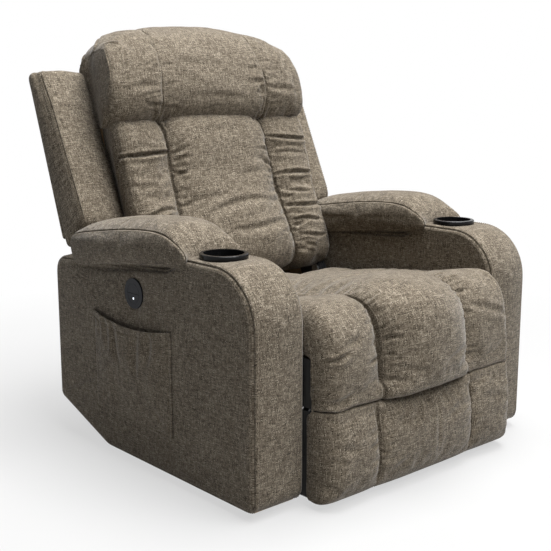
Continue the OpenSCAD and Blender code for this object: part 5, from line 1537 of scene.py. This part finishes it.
class RECLINER_OT_stage(bpy.types.Operator):
    """Pale floor, soft studio light and the camera"""

    bl_idname = "recliner.stage"
    bl_label = "Stage"

    def execute(self, context):
        scene = context.scene
        scene.view_settings.view_transform = "Standard"
        camera = bpy.data.objects.new("camera", bpy.data.cameras.new("camera"))
        scene.collection.objects.link(camera)
        camera.location = (-1.6328, -1.8078, 0.8684)
        camera.rotation_euler = (math.radians(90 - 11.19), 0, math.radians(-41.585))
        camera.data.lens, camera.data.sensor_width = 65.33, 36.0
        scene.camera = camera
        world = bpy.data.worlds.new("studio")
        scene.world = world
        world.use_nodes = True
        n = Nodes(world.node_tree)
        back = world.node_tree.nodes["Background"]
        n.feed(back, {"Color": (1.0, 1.0, 1.0, 1), "Strength": n.spread(n.seen(), 0, 1, 0.065, 1.0)})
        reach = np.linspace(-14, 14, 3)
        gx, gy = np.meshgrid(reach, reach, indexing="ij")
        verts = np.stack([gx, gy, gx * 0], -1).reshape(-1, 3)
        i, j = np.meshgrid([0, 1], [0, 1], indexing="ij")
        faces = np.stack([i * 3 + j, (i + 1) * 3 + j, (i + 1) * 3 + j + 1, i * 3 + j + 1], -1).reshape(-1, 4)
        floor = put("floor", verts, [faces], [np.zeros((4, 4, 2))], self.floor_finish(), False)
        for name, spot, aim, size, power in (
            ("key", (0.38, -2.85, 3.9), (0, 0, 0.4), 3.0, 196),
            ("top", (0.75, -0.25, 5.0), (0, 0, 0.4), 3.1, 500),
            ("fill", (-2.2, -3.0, 2.2), (0, 0, 0.45), 1.4, 2.5),
        ):
            lamp = bpy.data.lights.new(name, "AREA")
            lamp.shape, lamp.size, lamp.energy = "SQUARE", size, power
            obj = bpy.data.objects.new(name, lamp)
            scene.collection.objects.link(obj)
            obj.location = spot
            way = np.subtract(aim, spot)
            obj.rotation_euler = (
                math.atan2(math.hypot(way[0], way[1]), -way[2]),
                0,
                math.atan2(way[0], -way[1]) + math.pi,
            )
        return {"FINISHED"}

    def floor_finish(self):
        """Pale floor that turns into the white background: seen by the camera it is part white light, all of it
        beyond two metres, and the rest keeps the shadow."""
        material, n, bsdf, where = blank("floor")
        cloud = n.noise(where["Object"], 3.0, 3.0)
        n.feed(bsdf, {"Base Color": n.mix(cloud, (0.37, 0.37, 0.37, 1), (0.40, 0.40, 0.398, 1)), "Roughness": 0.8})
        white = n.add("ShaderNodeEmission", {"Color": (1.0, 1.0, 1.0, 1), "Strength": 1.0}).outputs[0]
        far = n.add("ShaderNodeVectorMath", {0: where["Object"]}, operation="LENGTH").outputs["Value"]
        share = n.math("MULTIPLY", n.spread(far, 0.7, 1.9, 0.6, 1.0), n.seen())
        mixed = n.add("ShaderNodeMixShader", {0: share, 1: bsdf.outputs[0], 2: white}).outputs[0]
        n.feed(material.node_tree.nodes["Material Output"], {"Surface": mixed})
        return material


class RECLINER_PT_sidebar(bpy.types.Panel):
    """Lists the pieces of the chair with their sizes and colours"""

    bl_idname = "RECLINER_PT_sidebar"
    bl_label = "Recliner"
    bl_space_type = "VIEW_3D"
    bl_region_type = "UI"
    bl_category = "Recliner"

    def draw(self, context):
        for group in (context.scene.recliner_sizes, context.scene.recliner_colours):
            for key in group.bl_rna.properties.keys():
                if key not in ("rna_type", "name"):
                    self.layout.prop(group, key)
        for operator in OPERATORS:
            self.layout.operator(operator.bl_idname)


OPERATORS = (
    RECLINER_OT_stage,
    RECLINER_OT_finishes,
    RECLINER_OT_arm_covers,
    RECLINER_OT_arm_pads,
    RECLINER_OT_side_pocket,
    RECLINER_OT_seat_cushion,
    RECLINER_OT_leg_rest,
    RECLINER_OT_shade_flaps,
    RECLINER_OT_back_cushion,
    RECLINER_OT_headrest,
    RECLINER_OT_wings,
    RECLINER_OT_back_shell,
)
CLASSES = (ReclinerSizes, ReclinerColours, *OPERATORS, RECLINER_PT_sidebar)


def register():
    """Adds the classes and the scene's settings."""
    for cls in CLASSES:
        bpy.utils.register_class(cls)
    bpy.types.Scene.recliner_sizes = PointerProperty(type=ReclinerSizes)
    bpy.types.Scene.recliner_colours = PointerProperty(type=ReclinerColours)


def unregister():
    """Takes them away again."""
    del bpy.types.Scene.recliner_colours
    del bpy.types.Scene.recliner_sizes
    for cls in reversed(CLASSES):
        bpy.utils.unregister_class(cls)


def main():
    register()
    for operator in OPERATORS:
        getattr(bpy.ops.recliner, operator.bl_idname.split(".")[1])()


if __name__ == "__main__":
    main()
